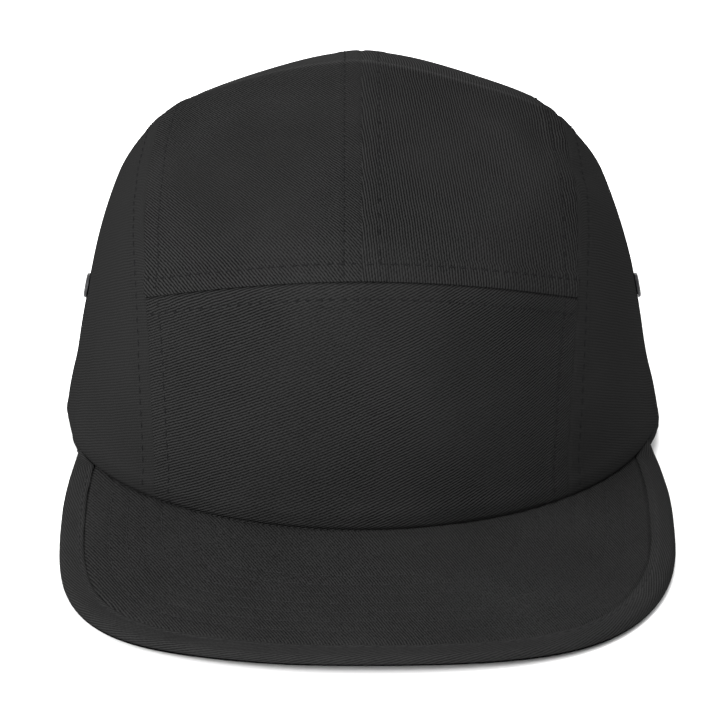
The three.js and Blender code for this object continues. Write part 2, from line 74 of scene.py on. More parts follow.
# Visor
VISOR_FRONT_REACH = CROWN_FRONT_REACH + 0.0659
VISOR_HALF_WIDTH = CROWN_HALF_WIDTH + 0.0001
VISOR_WIDEST_FORWARD = CROWN_FRONT_REACH - 0.0296
VISOR_THICKNESS = 0.0036
VISOR_SQUARENESS = 3
VISOR_REAR_REACH = 0.151
VISOR_TIP_WIDTH = 0.0014
VISOR_SIDE_SHIFT = 0.0017
VISOR_TURN_SHIFT = 0.0011
BINDING_WIDTH = 0.007
VISOR_ROWS = 7
VISOR_ROW_SPACING = 0.0050
VISOR_FIRST_ROW = 0.0142

# Vents, inside band, back opening and strap
VENT_CUT_RADIUS = 0.0029
VENT_OVER_BAND = 0.011
VENT_SPACING = 0.028
BAND_HEIGHT = 0.030
BAND_THICKNESS = 0.0012
BAND_SETBACK = 0.0015
LAYER_GAP = 0.0005
ARCH_HALF_WIDTH = 0.036
ARCH_HEIGHT = 0.045
ARCH_LEG_HEIGHT = 0.012
STRAP_WIDTH = 0.020
STRAP_THICKNESS = 0.0016
STRAP_LIFT = 0.004
STRAP_TUCK = 0.009
BUCKLE_LENGTH = 0.008
BUCKLE_PLACE = 0.014
BUCKLE_BARS = {"side": 0.0012, "end": 0.0022}
BUCKLE_CORNER = 0.0006
BUCKLE_FREE_PLAY = 0.0003
BUCKLE_ROUNDING = {"wide": 0.45, "deep": 0.6}

# Sewing
STITCH_INSET = 0.0050
STITCH_PITCH = 0.0034
STITCH_LENGTH = 0.0023
SIDE_STITCH_INSET = 0.0061
VISOR_STITCH_PITCH = 0.0042
VISOR_STITCH_LENGTH = 0.0029
THREAD_RADIUS = 0.00019
HEM_INSET = 0.0030
VISOR_ROWS_CLEAR = 0.0022
STITCH_REACH = 0.0006

# Camera, fitted to the photograph
CAMERA_DISTANCE = 1.70
CAMERA_ELEVATION = 23
CAMERA_TARGET_HEIGHT = 0.022
CAMERA_TARGET_SIDE = -0.00045
PIXELS_PER_METRE = 3352
IMAGE_SIZE = 720
SENSOR_WIDTH = 0.036

# Where the visor's outline stands out of its plain curve or back from it, by the angle from straight forward
VISOR_SWELLS = records(
    "angle out spread",
    (0, 0.0015, 19),
    (-28, -0.0011, 12),
    (53, -0.0004, 14),
    (118, -0.0007, 14),
)

# The crown's outline at each height. Heights are shares of the crown's height, the rest are shares of its
# half width and reaches. A squareness of 2 is an ellipse.
CROWN_LEVELS = records(
    "height width front back squareness",
    (0.00, 0.998, 1.000, 1.000, 2.00),
    (0.05, 1.004, 0.997, 0.999, 2.00),
    (0.13, 0.986, 0.988, 0.996, 2.02),
    (0.20, 0.967, 0.980, 0.990, 2.06),
    (0.32, 0.944, 0.962, 0.972, 2.12),
    (0.48, 0.903, 0.930, 0.930, 2.20),
    (0.63, 0.845, 0.905, 0.870, 2.24),
    (0.77, 0.770, 0.872, 0.790, 2.26),
    (1.00, 0.640, 0.790, 0.640, 2.26),
)

# How far the side seams lie from the middle, as shares of the crown's half width. The turn is the angle up
# from straight forward, over the top and down the back.
SIDE_SEAM = records(
    "turn share",
    (-40, 0.668),
    (-24, 0.672),
    (0, 0.686),
    (25, 0.699),
    (52, 0.708),
    (79, 0.698),
    (105, 0.668),
    (143, 0.637),
    (170, 0.614),
    (220, 0.590),
)

# The roof falls away from its ridge to the front, to the back and to both sides, in shares of the crown's
# height at distances that are shares of its reach or half width. The rim is level at the back.
ROOF = {
    "ridge": -0.10, "round": 0.022,
    "front_fall": 0.096, "front_curve": 0.124,
    "back_fall": 0.179, "back_curve": 0.256,
    "side_fall": 0.158, "side_curve": 0.143, "side_round": 0.12,
}
RIM = {"level_until": -0.50, "blend": 0.15}
FRONT_SEAM = {"turn": 26.2, "end_drop": 2.0}
SIDE_CORNERS = {"front": 50, "back": 125}
VISOR_FORM = {"slope": 0.097, "side_level": 0.62, "arch": 0.091}
PIVOT = {"panels": 0.35, "sides": 0.25}
RIM_SEARCH = {"front": (-60, 0), "back": (170, 240)}
ARCH_SEARCH_FROM = 120
ARCH_LEG_TURN = 195

# Grid counts of the dressed pieces
GRID = {
    "front": {"up": 84, "across": 190},
    "top": {"front": 84, "crease": 36, "back": 100, "leg": 12, "arch": 64, "outside": 30},
    "side": {"up": 120, "round": 176},
    "visor": {"out": 76, "across": 300},
    "binding": {"along": 420},
    "band": {"along": 260, "up": 16},
    "strap": {"along": 90, "up": 12},
}

# Large soft shapes in the crown's cloth. The slack is how far the cloth stands off its form. It dies out at
# the rim, and the inner face follows it in part.
SLACK = records(
    "wavelength slack seed",
    (0.058, 0.0006, 3.1),
    (0.026, 0.0003, 8.7),
)
SLACK_FULL_AT = 0.012
INNER_SHARE = 0.6
INNER_DEEPEST = -0.0004

# Dents by place on the crown: to the right, forward and up, with their reach and depth. A swell has a depth
# less than zero.
DENTS = records(
    "x forward z reach depth",
    (0.0634, 0.0115, 0.0874, 0.0055, 0.0012),
    (0.0441, 0.0152, 0.0982, 0.0070, -0.0008),
    (0.0536, 0.0085, 0.0953, 0.0080, 0.0010),
    (0.0302, -0.0003, 0.1055, 0.0110, 0.0009),
    (-0.050, 0.030, 0.098, 0.0120, 0.0007),
    (0.0687, 0.0582, 0.034, 0.0090, -0.0007),
    (0.0780, 0.0380, 0.040, 0.0110, 0.0007),
    (-0.082, 0.020, 0.045, 0.0150, 0.0006),
    (-0.036, -0.038, 0.096, 0.0200, 0.0005),
    (0.0590, -0.026, 0.089, 0.0100, 0.0011),
    (-0.0540, -0.030, 0.090, 0.0090, 0.0007),
    (0.0860, 0.008, 0.017, 0.0110, -0.0009),
    (0.0180, -0.040, 0.102, 0.0150, -0.0004),
    (-0.0870, 0.0120, 0.0070, 0.0130, 0.0014),
)

# The fold pressed across the crown's ridge, by its place forward at each distance to the right
CREASE_PATH = records(
    "x forward",
    (-0.058, -0.0210),
    (-0.043, -0.0172),
    (0.000, -0.0084),
    (0.043, -0.0112),
    (0.058, -0.0106),
)
CREASE = {
    "height": 0.0004, "width": 0.0014,
    "trough": 0.0006, "trough_width": 0.0028, "trough_behind": 0.0040,
    "fade_from": 0.040, "fade_to": 0.062,
}
CREASE_TURNS = (92, 106)

# How much lighter cloth is made, as shares of the way from dark to light: a painted highlight along the
# crown's fold, painted light on the roof behind it, and rubbed wear beside the tape's stitches
WEAR_AND_HIGHLIGHT = {
    "crease": 0.46, "crease_width": 0.0011,
    "roof": 0.20, "roof_full": 0.004, "roof_until": 0.05, "roof_end": 0.08,
    "tape": 0.20, "tape_width": 0.0009,
}

# What a seam does to the cloth beside it: the groove in the seam, the flat fold of cloth under it, the
# pull of the stitches and the puckers that run off them.
SEAM = {
    "groove": 0.00050, "groove_width": 0.0006,
    "fold": 0.00024, "fold_edge": 0.0010,
    "pull": 0.00022, "pull_width": 0.0008,
    "beat": 0.35,
    "pucker": 0.00044, "pucker_length": 0.0046, "pucker_width": 0.018, "pucker_reach": 0.0075,
}
HEM = {
    "lip": 0.0006, "lip_width": 0.0006, "full": 0.00035, "edge": 0.0014,
    "pull": 0.0002, "pull_width": 0.0007,
    "pucker": 0.00032, "pucker_length": 0.0052, "pucker_width": 0.02, "pucker_reach": 0.006,
}
HEM_BEHIND = {"top": 0, "side": 0.03}
OVERLAP_RISE = 0.00038
SEAM_SAMPLES = 4000

# The joint of crown and visor: a groove, and above it the crown's fullness, from the sides to the front
JOINT = {
    "groove": 0.0011, "groove_width": 0.0007,
    "fullness": 0.0004, "fullness_rise": 0.0045, "fullness_width": 0.0028,
    "from_forward": 0.014, "full_forward": 0.026,
}

# The tape folded over the visor's edge, in rings from its upper inner edge round to its lower one
BINDING_BEND = 0.0019
BINDING_UNDERCUT = 0.0056
BINDING_STITCH = 0.0014
BINDING = {
    "lip": 0.00022, "full": 0.00018, "under_full": 0.0002, "undercut_width": 0.045,
    "ripple": 0.00040, "ripple_length": 0.0085, "pull": 0.00025, "pull_width": 0.0007,
}
BINDING_RINGS = {"upper": 13, "edge": 17, "lower": 9, "rippled": 24, "ripple": 9}

# The visor's cloth: the pull of its stitch rows, its low swells, and its tuck into the joint
VISOR_CLOTH = {
    "row_pull": 0.00014, "row_pull_width": 0.0009, "row_fade": 0.002,
    "tuck": 0.0004, "tuck_width": 0.0009,
}
VISOR_WAVES = records(
    "height wavelength seed",
    (0.0004, 0.045, 30.0),
    (0.0002, 0.013, 34.0),
    (0.0001, 0.0052, 38.0),
)
VISOR_TUCK = -0.0009
UNDER_BINDING = 0.0006
OUTLINE_SPAN = 2.2
OUTLINE_SAMPLES = 1400
ROW_SAMPLES = 700
ROW_SPANS = {"visor": 2.0, "binding": 2.1}

# How deep each seam's groove is beside the front seam's, and where its puckers come from in the noise
GROOVES = {"side": 0.5, "middle": 0.35}
SEEDS = {
    "front_top": 7.9, "front_left": 1.3, "front_right": 4.6,
    "top_front": 2.7, "top_middle": 5.5, "top_side": 9.1, "arch": 6.4, "top_rim": 3.8,
    "side": 12.4, "side_rim": 21.7, "binding": 41.0,
}

# The inside band and the strap: rolled edges and ripples
STRIP = {"roll": 0.35, "roll_width": 0.0006, "most": 0.4}
RIPPLES = {
    "band": {"height": 0.0008, "length": 0.022, "width": 0.05, "seed": 51.0},
    "band_edge": {"height": 0.0003, "length": 0.006, "width": 0.02, "seed": 53.0},
    "strap": {"height": 0.0003, "length": 0.012, "width": 0.02, "seed": 57.0},
}
BAND_EDGE = 0.012

# The weave: how far a thread floats, how rows are staggered and how the wales wander. Then what makes cloth
# lighter or darker, and what stands up from it.
WEAVE = {
    "float_length": 0.00135, "stagger": 0.382, "fibre_scale": 3800.0,
    "drift": 0.9, "drift_scale": 90.0, "jitter": 0.42, "jitter_scale": 900.0,
}
CLOTH_TONE = {
    "floats": 0.16, "fibres": 0.5, "paler": 0.4, "darkest": -0.03, "lightest": 1.47,
    "faded_scale": 26.0, "speck_scale": 1500.0, "crisp_scale": 34.0, "softest": 0.7, "crispest": 1.05,
    # The next line paints shade onto downward-facing cloth: how much darker it gets, the facing at which the
    # painted shade is full, and the facing at which it is gone.
    "under_shade": 0.4, "shade_full_below": -0.40, "shade_gone_above": -0.05,
}
CLOTH_HEIGHT = {"wales": 0.80, "floats": 0.16, "fibres": 0.25}

# The way the wales run on each piece, in degrees from across the piece up toward along it
FRONT_WALE = 24
TOP_WALE = {-1: -52, 1: -84}
SIDE_WALE = -18
VISOR_WALE = -65
BINDING_WALE = 14
BAND_WALE = 45
STRAP_WALE = 60

HALVINGS = 30
NORMAL_STEP = 0.00005
SHARP_ANGLE = 50
ARCH_SAMPLES = 60
FAR_OUT = 3 * CROWN_HEIGHT
SIDE_NAMES = {-1: "left", 1: "right"}
UP = np.array([0.0, 0.0, 1.0])
FULL_TURN = 2 * math.pi

visor_front = -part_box("visor_binding")[0].y
middle_y = VISOR_FRONT_REACH - visor_front


# Numbers and tables

def mix(a, b, share):
    return a + (b - a) * share


def smooth_step(low, high, at):
    s = np.clip((at - low) / (high - low), 0, 1)
    return s * s * (3 - 2 * s)


def hump(distance, width):
    return np.exp(-(distance / width) ** 2)


def column(table, key, name, at):
    """A smooth curve through one column of a table."""
    keys = np.array([row[key] for row in table], float)
    values = np.array([row[name] for row in table], float)
    slopes = np.gradient(values) / np.gradient(keys)
    place = np.clip(at, keys[0], keys[-1])
    i = np.clip(np.searchsorted(keys, place, side="right") - 1, 0, len(keys) - 2)
    step = keys[i + 1] - keys[i]
    s = (place - keys[i]) / step
    start = values[i] * (1 + 2 * s) * (1 - s) ** 2 + step * slopes[i] * s * (1 - s) ** 2
    return start + values[i + 1] * s ** 2 * (3 - 2 * s) + step * slopes[i + 1] * s ** 2 * (s - 1)


def solve(low, high, func):
    """Where rising functions reach zero between two values."""
    for _ in range(HALVINGS):
        middle = (low + high) / 2
        over = func(middle) > 0
        high = np.where(over, middle, high)
        low = np.where(over, low, middle)
    return (low + high) / 2


def crowded(count, crowding=0.5, ends=2):
    """Shares from 0 to 1 that lie closer together toward both ends, or toward the start alone."""
    t = np.linspace(0, 1, count + 1)
    return t - crowding * np.sin(ends * np.pi * t) / (ends * np.pi)


def soft_ramp(at, blend):
    return np.where(np.abs(at) < blend, (at + blend) ** 2 / (4 * blend), np.maximum(at, 0))


def points_of(x, forward, z):
    return np.stack(np.broadcast_arrays(x, forward, z), axis=-1).astype(float)


def unit(vectors):
    return vectors / np.linalg.norm(vectors, axis=-1, keepdims=True)


def run_lengths(points, axis):
    """How far each point of a grid lies from the grid's first row or column, along the cloth."""
    steps = np.linalg.norm(np.diff(points, axis=axis), axis=-1)
    start = np.zeros_like(np.take(steps, [0], axis=axis))
    return np.concatenate([start, np.cumsum(steps, axis=axis)], axis=axis)


def from_line(points, line):
    """How far points lie from a line, and how far along it their nearest place is."""
    run = run_lengths(line, 0)
    lengths = np.linspace(0, run[-1], SEAM_SAMPLES)
    tree = kdtree.KDTree(SEAM_SAMPLES)
    for n, length in enumerate(lengths):
        tree.insert([np.interp(length, run, line[:, k]) for k in range(3)], n)
    tree.balance()
    nearest = np.array([tree.find(p)[1:] for p in points.reshape(-1, 3).tolist()])
    shape = points.shape[:-1]
    return nearest[:, 1].reshape(shape), lengths[nearest[:, 0].astype(int)].reshape(shape)


def from_end(lengths, axis):
    return np.take(lengths, [-1], axis=axis) - lengths


def waves(points, wavelength, seed):
    """Seeded smooth noise at each point, about -0.5 to 0.5."""
    flat = (points.reshape(-1, 3) / wavelength + seed).tolist()
    return np.array([noise.noise(p) for p in flat]).reshape(points.shape[:-1])


# The crown's form

def roof_height(x, forward):
    ridge = ROOF["ridge"] * CROWN_FRONT_REACH
    past = np.hypot(forward - ridge, ROOF["round"] * CROWN_FRONT_REACH)
    ahead = (past + (forward - ridge)) / 2 / CROWN_FRONT_REACH
    behind = (past - (forward - ridge)) / 2 / CROWN_BACK_REACH
    aside = x / CROWN_HALF_WIDTH
    fall = ROOF["front_fall"] * ahead + ROOF["front_curve"] * ahead ** 2
    fall = fall + ROOF["back_fall"] * behind + ROOF["back_curve"] * behind ** 2
    fall = fall + ROOF["side_fall"] * (np.hypot(aside, ROOF["side_round"]) - ROOF["side_round"])
    return CROWN_HEIGHT * (1 - fall - ROOF["side_curve"] * aside ** 2)


def crown_distance(p):
    """About the distance outside the crown's outer face, less than zero inside it."""
    x, forward, z = p[..., 0], p[..., 1], p[..., 2]
    width, front, back, squareness = (
        column(CROWN_LEVELS, "height", name, z / CROWN_HEIGHT)
        for name in ("width", "front", "back", "squareness"))
    reach = np.where(forward > 0, CROWN_FRONT_REACH * front, CROWN_BACK_REACH * back)
    across = (np.abs(x) / (CROWN_HALF_WIDTH * width)) ** squareness
    outward = (across + (np.abs(forward) / reach) ** squareness) ** (1 / squareness)
    wall = (outward - 1) * CROWN_HALF_WIDTH + SHOULDER_RADIUS
    roof = z - roof_height(x, forward) + SHOULDER_RADIUS
    return np.hypot(np.maximum(wall, 0), np.maximum(roof, 0)) - SHOULDER_RADIUS


def crown_normal(p):
    steps = NORMAL_STEP * np.eye(3)
    slopes = [crown_distance(p + step) - crown_distance(p - step) for step in steps]
    return unit(np.stack(slopes, axis=-1))


def cast_out(start, direction):
    way = np.broadcast_to(unit(direction), np.broadcast_shapes(np.shape(start), np.shape(direction)))
    low = np.zeros(way.shape[:-1])
    distance = solve(low, low + FAR_OUT, lambda d: crown_distance(start + way * d[..., None]))
    return start + way * distance[..., None]


def rim_height(forward):
    start = RIM["level_until"] * CROWN_FRONT_REACH
    ramp = soft_ramp(forward - start, RIM["blend"] * CROWN_FRONT_REACH)
    return FRONT_RIM_RISE * ramp / (CROWN_FRONT_REACH - start)


def seam_offset(turn):
    return CROWN_HALF_WIDTH * column(SIDE_SEAM, "turn", "share", turn)


def crown_point(x, turn):
    """The point of the crown's face at a distance from the middle and a turn over the top."""
    angle = np.radians(turn)
    x = np.broadcast_to(x, np.broadcast(x, angle).shape)
    start = points_of(x, 0, PIVOT["panels"] * CROWN_HEIGHT)
    return cast_out(start, points_of(0 * x, np.cos(angle), np.sin(angle)))


def over_rim(p):
    return p[..., 2] - rim_height(p[..., 1])


def rim_turn(end, line, shape):
    """Where lines over the crown meet its rim, at the front or at the back."""
    low, high = (np.full(shape, float(turn)) for turn in RIM_SEARCH[end])
    rising = 1 if end == "front" else -1
    return solve(low, high, lambda turn: rising * over_rim(crown_point(line(turn), turn)))


def front_seam_turn(share):
    return FRONT_SEAM["turn"] - FRONT_SEAM["end_drop"] * share ** 2


def rim_point(angle):
    """The point of the rim in a plan direction. An angle of zero is forward and grows toward +X."""
    way = points_of(np.sin(angle), np.cos(angle), 0)

    def at(distance):
        p = way * distance[..., None]
        p[..., 2] = rim_height(p[..., 1])
        return p

    low = np.zeros(np.shape(angle))
    return at(solve(low, low + FAR_OUT, lambda distance: crown_distance(at(distance))))


# Panel outlines on the crown's face

def front_panel_grid():
    share = mix(-1, 1, crowded(GRID["front"]["across"]))
    up = crowded(GRID["front"]["up"])[:, None]

    def line(turn):
        return share * seam_offset(turn)

    turn = mix(rim_turn("front", line, share.shape), front_seam_turn(share), up)
    return crown_point(line(turn), turn)


def arch_side(x, z):
    """Less than zero inside the arched opening at the back, seen from behind."""
    above = np.hypot(x / ARCH_HALF_WIDTH, (z - ARCH_LEG_HEIGHT) / (ARCH_HEIGHT - ARCH_LEG_HEIGHT)) - 1
    return np.where(z > ARCH_LEG_HEIGHT, above, np.abs(x) / ARCH_HALF_WIDTH - 1)


def top_panel_grid(side):
    """The grid runs from the front seam to the arch, and beside the arch on down to the rim."""
    size = GRID["top"]
    low_turn, high_turn = CREASE_TURNS
    leg_share = ARCH_HALF_WIDTH / seam_offset(ARCH_LEG_TURN)
    inner = leg_share * np.sin(crowded(size["arch"], ends=1) * np.pi / 2)
    outer = mix(leg_share, 1, 1 - crowded(size["outside"], ends=1)[::-1])
    share = np.concatenate([inner, outer[1:]])

    def line(turn):
        return side * share * seam_offset(turn)

    rim = rim_turn("back", line, share.shape)

    def inside_arch(turn):
        p = crown_point(line(turn), turn)
        return -arch_side(p[..., 0], p[..., 2])

    def under_leg_top(turn):
        return ARCH_LEG_HEIGHT - crown_point(line(turn), turn)[..., 2]

    low = np.full(share.shape, float(ARCH_SEARCH_FROM))
    arch = np.minimum(solve(low, rim, inside_arch), solve(low, rim, under_leg_top))
    front = mix(front_seam_turn(share), low_turn, crowded(size["front"], 0.6, 1)[:, None])
    crease = np.linspace(low_turn, high_turn, size["crease"] + 1)[1:, None] + 0 * share
    back = mix(high_turn, arch, 1 - crowded(size["back"], 0.6, 1)[-2::-1, None])
    leg = mix(arch, rim, np.linspace(0, 1, size["leg"] + 1)[1:, None])
    turn = np.concatenate([front, crease, back, leg])
    cells = np.ones((len(turn) - 1, len(share) - 1), bool)
    cells[-size["leg"]:, :size["arch"]] = False
    return crown_point(line(turn), turn), cells


def side_panel_grid(side):
    """A blend of the rim and the three stretches of the side seam, moved out to the crown's face."""
    size = GRID["side"]
    u = crowded(size["round"])
    v = crowded(size["up"])[:, None]

    def line(turn):
        return side * seam_offset(turn)

    def seam(turn):
        return crown_point(line(turn), turn)

    front_turn, back_turn = (rim_turn(end, line, ()) for end in ("front", "back"))
    ends = [np.arctan2(p[0], p[1]) for p in (seam(front_turn), seam(back_turn))]
    rim = rim_point(mix(ends[0], ends[1], u))
    over = seam(mix(SIDE_CORNERS["front"], SIDE_CORNERS["back"], u))
    front = seam(mix(front_turn, SIDE_CORNERS["front"], v[:, 0]))[:, None]
    back = seam(mix(back_turn, SIDE_CORNERS["back"], v[:, 0]))[:, None]
    share_u = u[None, :, None]
    share_v = v[:, :, None]
    rows = mix(rim[None], over[None], share_v)
    columns = mix(front, back, share_u)
    corners = mix(mix(rim[0], rim[-1], share_u), mix(over[0], over[-1], share_u), share_v)
    target = rows + columns - corners
    start = np.array([0, 0, PIVOT["sides"] * CROWN_HEIGHT])
    points = cast_out(start, target - start)
    points[0] = rim
    return points


def vent_seats(side):
    seats = []
    for back in (0, VENT_SPACING):
        forward = np.float64(-back)
        z = rim_height(forward) + BAND_SETBACK + BAND_HEIGHT + VENT_OVER_BAND
        place = cast_out(points_of(0, forward, z), points_of(side, 0, 0))
        seats.append((place, crown_normal(place)))
    return seats


# Relief of the sewn cloth

def soft_relief(p):
    """The slack, dents and swells of the crown's cloth, which pass through its seams."""
    relief = sum(row["slack"] * waves(p, row["wavelength"], row["seed"]) for row in SLACK)
    relief = relief * smooth_step(0, SLACK_FULL_AT, over_rim(p))
    for row in DENTS:
        centre = np.array([row["x"], row["forward"], row["z"]])
        relief = relief - row["depth"] * hump(np.linalg.norm(p - centre, axis=-1), row["reach"])
    return relief + crease_relief(p)


def crease_place(p):
    """How far ahead of the pressed fold points lie, and how much of the fold is left so far aside."""
    ahead = p[..., 1] - column(CREASE_PATH, "x", "forward", p[..., 0])
    return ahead, 1 - smooth_step(CREASE["fade_from"], CREASE["fade_to"], np.abs(p[..., 0]))


def crease_relief(p):
    """The fold pressed across the ridge: a fine raised line with a shallow trough behind it."""
    ahead, left = crease_place(p)
    line = CREASE["height"] * hump(ahead, CREASE["width"])
    trough = CREASE["trough"] * hump(ahead + CREASE["trough_behind"], CREASE["trough_width"])
    return (line - trough) * left


def painted_crease_light(p):
    """A painted highlight along the fold's line, and painted light on the roof behind it."""
    ahead, left = crease_place(p)
    line = WEAR_AND_HIGHLIGHT["crease"] * hump(ahead, WEAR_AND_HIGHLIGHT["crease_width"])
    paler = WEAR_AND_HIGHLIGHT["roof"] * smooth_step(0, WEAR_AND_HIGHLIGHT["roof_full"], -ahead)
    paler = paler * (1 - smooth_step(WEAR_AND_HIGHLIGHT["roof_until"], WEAR_AND_HIGHLIGHT["roof_end"], -ahead))
    return (line + paler) * left


def joint_relief(p):
    """Where the visor is sewn on: a groove along the joint, and the crown's fullness just above it."""
    above = p[..., 2] - visor_top(2 * p - sewn_on(p))
    groove = JOINT["groove"] * hump(above, JOINT["groove_width"])
    full = JOINT["fullness"] * hump(above - JOINT["fullness_rise"], JOINT["fullness_width"])
    return (full - groove) * smooth_step(JOINT["from_forward"], JOINT["full_forward"], p[..., 1])


def seam_relief(distance, length, seed, groove=1.0, overlap=0.0, inset=STITCH_INSET):
    """What one seam does at a distance from it and a length along it."""
    sunk = -SEAM["groove"] * groove * hump(distance, SEAM["groove_width"])
    fold_end = inset + SEAM["fold_edge"]
    fold = 1 - smooth_step(fold_end, fold_end + 2 * SEAM["fold_edge"], distance)
    beat = 1 - SEAM["beat"] * (1 + np.cos(FULL_TURN * length / STITCH_PITCH))
    pull = -SEAM["pull"] * beat * hump(distance - inset, SEAM["pull_width"])
    puckers = pucker(SEAM, distance, length, seed) * (1 - hump(distance, SEAM["fold_edge"]))
    return sunk + (SEAM["fold"] + overlap) * fold + pull + puckers


def pucker(edge, distance, length, seed):
    """The fine puckers that run off a seam or a hem."""
    place = points_of(length / edge["pucker_length"], distance / edge["pucker_width"], seed)
    return edge["pucker"] * waves(place, 1, seed) * np.exp(-distance / edge["pucker_reach"])


def arch_distance(x, z):
    """How far a point lies outside the arched opening, seen from behind."""
    t = np.linspace(0, np.pi / 2, ARCH_SAMPLES)
    rise = ARCH_HEIGHT - ARCH_LEG_HEIGHT
    curve = np.stack([ARCH_HALF_WIDTH * np.cos(t), ARCH_LEG_HEIGHT + rise * np.sin(t)], axis=-1)
    curve = np.concatenate([[[ARCH_HALF_WIDTH, 0]], curve])
    p = np.stack([np.abs(x), z], axis=-1)
    best = np.full(np.shape(x), FAR_OUT)
    for a, b in zip(curve[:-1], curve[1:]):
        way = b - a
        share = np.clip((p - a) @ way / (way @ way), 0, 1)
        best = np.minimum(best, np.linalg.norm(p - a - share[..., None] * way, axis=-1))
    return best


def hem_relief(distance, length, seed):
    """A turned edge: rounded at the lip, full up to its row of stitches, pulled in along the row."""
    lip = -HEM["lip"] * hump(distance, HEM["lip_width"])
    full = HEM["full"] * (1 - smooth_step(HEM_INSET, HEM_INSET + HEM["edge"], distance))
    pull = -HEM["pull"] * hump(distance - HEM_INSET, HEM["pull_width"])
    return lip + full + pull + pucker(HEM, distance, length, seed)


# Meshes

def world(points):
    """Points of the cap as points of the frame."""
    flat = np.asarray(points, float).reshape(-1, 3)
    return np.stack([flat[:, 0], middle_y - flat[:, 1], flat[:, 2]], axis=-1)


def grid_faces(rows, columns, cells=np.s_[:]):
    """Faces over the kept cells of a grid."""
    index = np.arange(rows * columns).reshape(rows, columns)
    corners = (index[:-1, :-1], index[1:, :-1], index[1:, 1:], index[:-1, 1:])
    return np.stack([corner[cells].ravel() for corner in corners], axis=-1)


def sheet_faces(shape, cells):
    """Faces of a closed sheet over the kept cells of a grid: the outer face, the inner one and the border."""
    rows, columns = shape
    outer = grid_faces(rows, columns, cells)
    back = rows * columns
    edges = np.concatenate([outer[:, [k, (k + 1) % 4]] for k in range(4)])
    code = edges[:, 0] * back + edges[:, 1]
    border = edges[~np.isin(code, edges[:, 1] * back + edges[:, 0])]
    walls = np.stack([border[:, 1], border[:, 0], border[:, 0] + back, border[:, 1] + back], axis=-1)
    return np.concatenate([outer, outer[:, ::-1] + back, walls])


def make_piece(name, points, faces, material, cloth=None, wear_and_highlight=None):
    """A mesh object from points of the frame. Cloth is the place in the weave, and the wear and highlight
    values say how much lighter the cloth is, from rubbed wear and from painted highlight.
    """
    used, first = np.unique(faces, return_inverse=True)
    faces = first.reshape(faces.shape)
    points = points[used]
    a, b, c = points[faces[:, 0]], points[faces[:, 1]], points[faces[:, 2]]
    volume = np.einsum("ij,ij->", a, np.cross(b, c))
    if faces.shape[1] == 4:
        volume += np.einsum("ij,ij->", a, np.cross(c, points[faces[:, 3]]))
    if volume < 0:
        faces = faces[:, ::-1]
    mesh = bpy.data.meshes.new(name)
    mesh.from_pydata(points.tolist(), [], faces.tolist())
    mesh.polygons.foreach_set("use_smooth", np.ones(len(faces), bool))
    mesh.set_sharp_from_angle(angle=math.radians(SHARP_ANGLE))
    if cloth is not None:
        places = np.ascontiguousarray(cloth.reshape(-1, 3)[used], np.float32)
        mesh.attributes.new("cloth", "FLOAT_VECTOR", "POINT").data.foreach_set("vector", places.ravel())
    if wear_and_highlight is not None:
        lighter_by = np.ascontiguousarray(wear_and_highlight.reshape(-1)[used], np.float32)
        mesh.attributes.new("wear_and_highlight", "FLOAT", "POINT").data.foreach_set("value", lighter_by)
    mesh.materials.append(material)
    mesh.update()
    piece = bpy.data.objects.new(name, mesh)
    bpy.context.scene.collection.objects.link(piece)
    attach(piece, "root")
    return piece


def weave_places(across, along, angle):
    """Places in the weave, turned so that the first number runs across the wales."""
    a = math.radians(angle)
    s, c = math.sin(a), math.cos(a)
    return points_of(along * c - across * s, along * s + across * c, 0)


def cloth_piece(name, node, outer, inner, cells, cloth, material, wear_and_highlight=None):
    faces = sheet_faces(outer.shape[:2], cells)
    vertices = world(np.concatenate([outer.reshape(-1, 3), inner.reshape(-1, 3)]))
    both = np.concatenate([cloth.reshape(-1, 3)] * 2)
    if wear_and_highlight is not None:
        wear_and_highlight = np.concatenate([wear_and_highlight.ravel(), 0 * wear_and_highlight.ravel()])
    piece = make_piece(name, vertices, faces, material, both, wear_and_highlight)
    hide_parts(node)
    return piece


# Stitches

def trace(outer, distance, level, axis):
    """The line on a face where a distance first reaches a level, a point for each row across the axis."""
    d = np.moveaxis(distance, axis, 0)
    p = np.moveaxis(outer, axis, 0)
    i = np.clip(np.argmax(d >= level, axis=0), 1, None)
    j = np.arange(d.shape[1])
    share = np.clip((level - d[i - 1, j]) / (d[i, j] - d[i - 1, j]), 0, 1)
    return mix(p[i - 1, j], p[i, j], share[:, None])


def traced(outer, normal, distance, inset, axis, order=np.s_[:]):
    """A row of stitches at an inset from a seam: its line on the face and the face's normals along it."""
    return tuple(trace(values[order], distance[order], inset, axis) for values in (outer, normal))


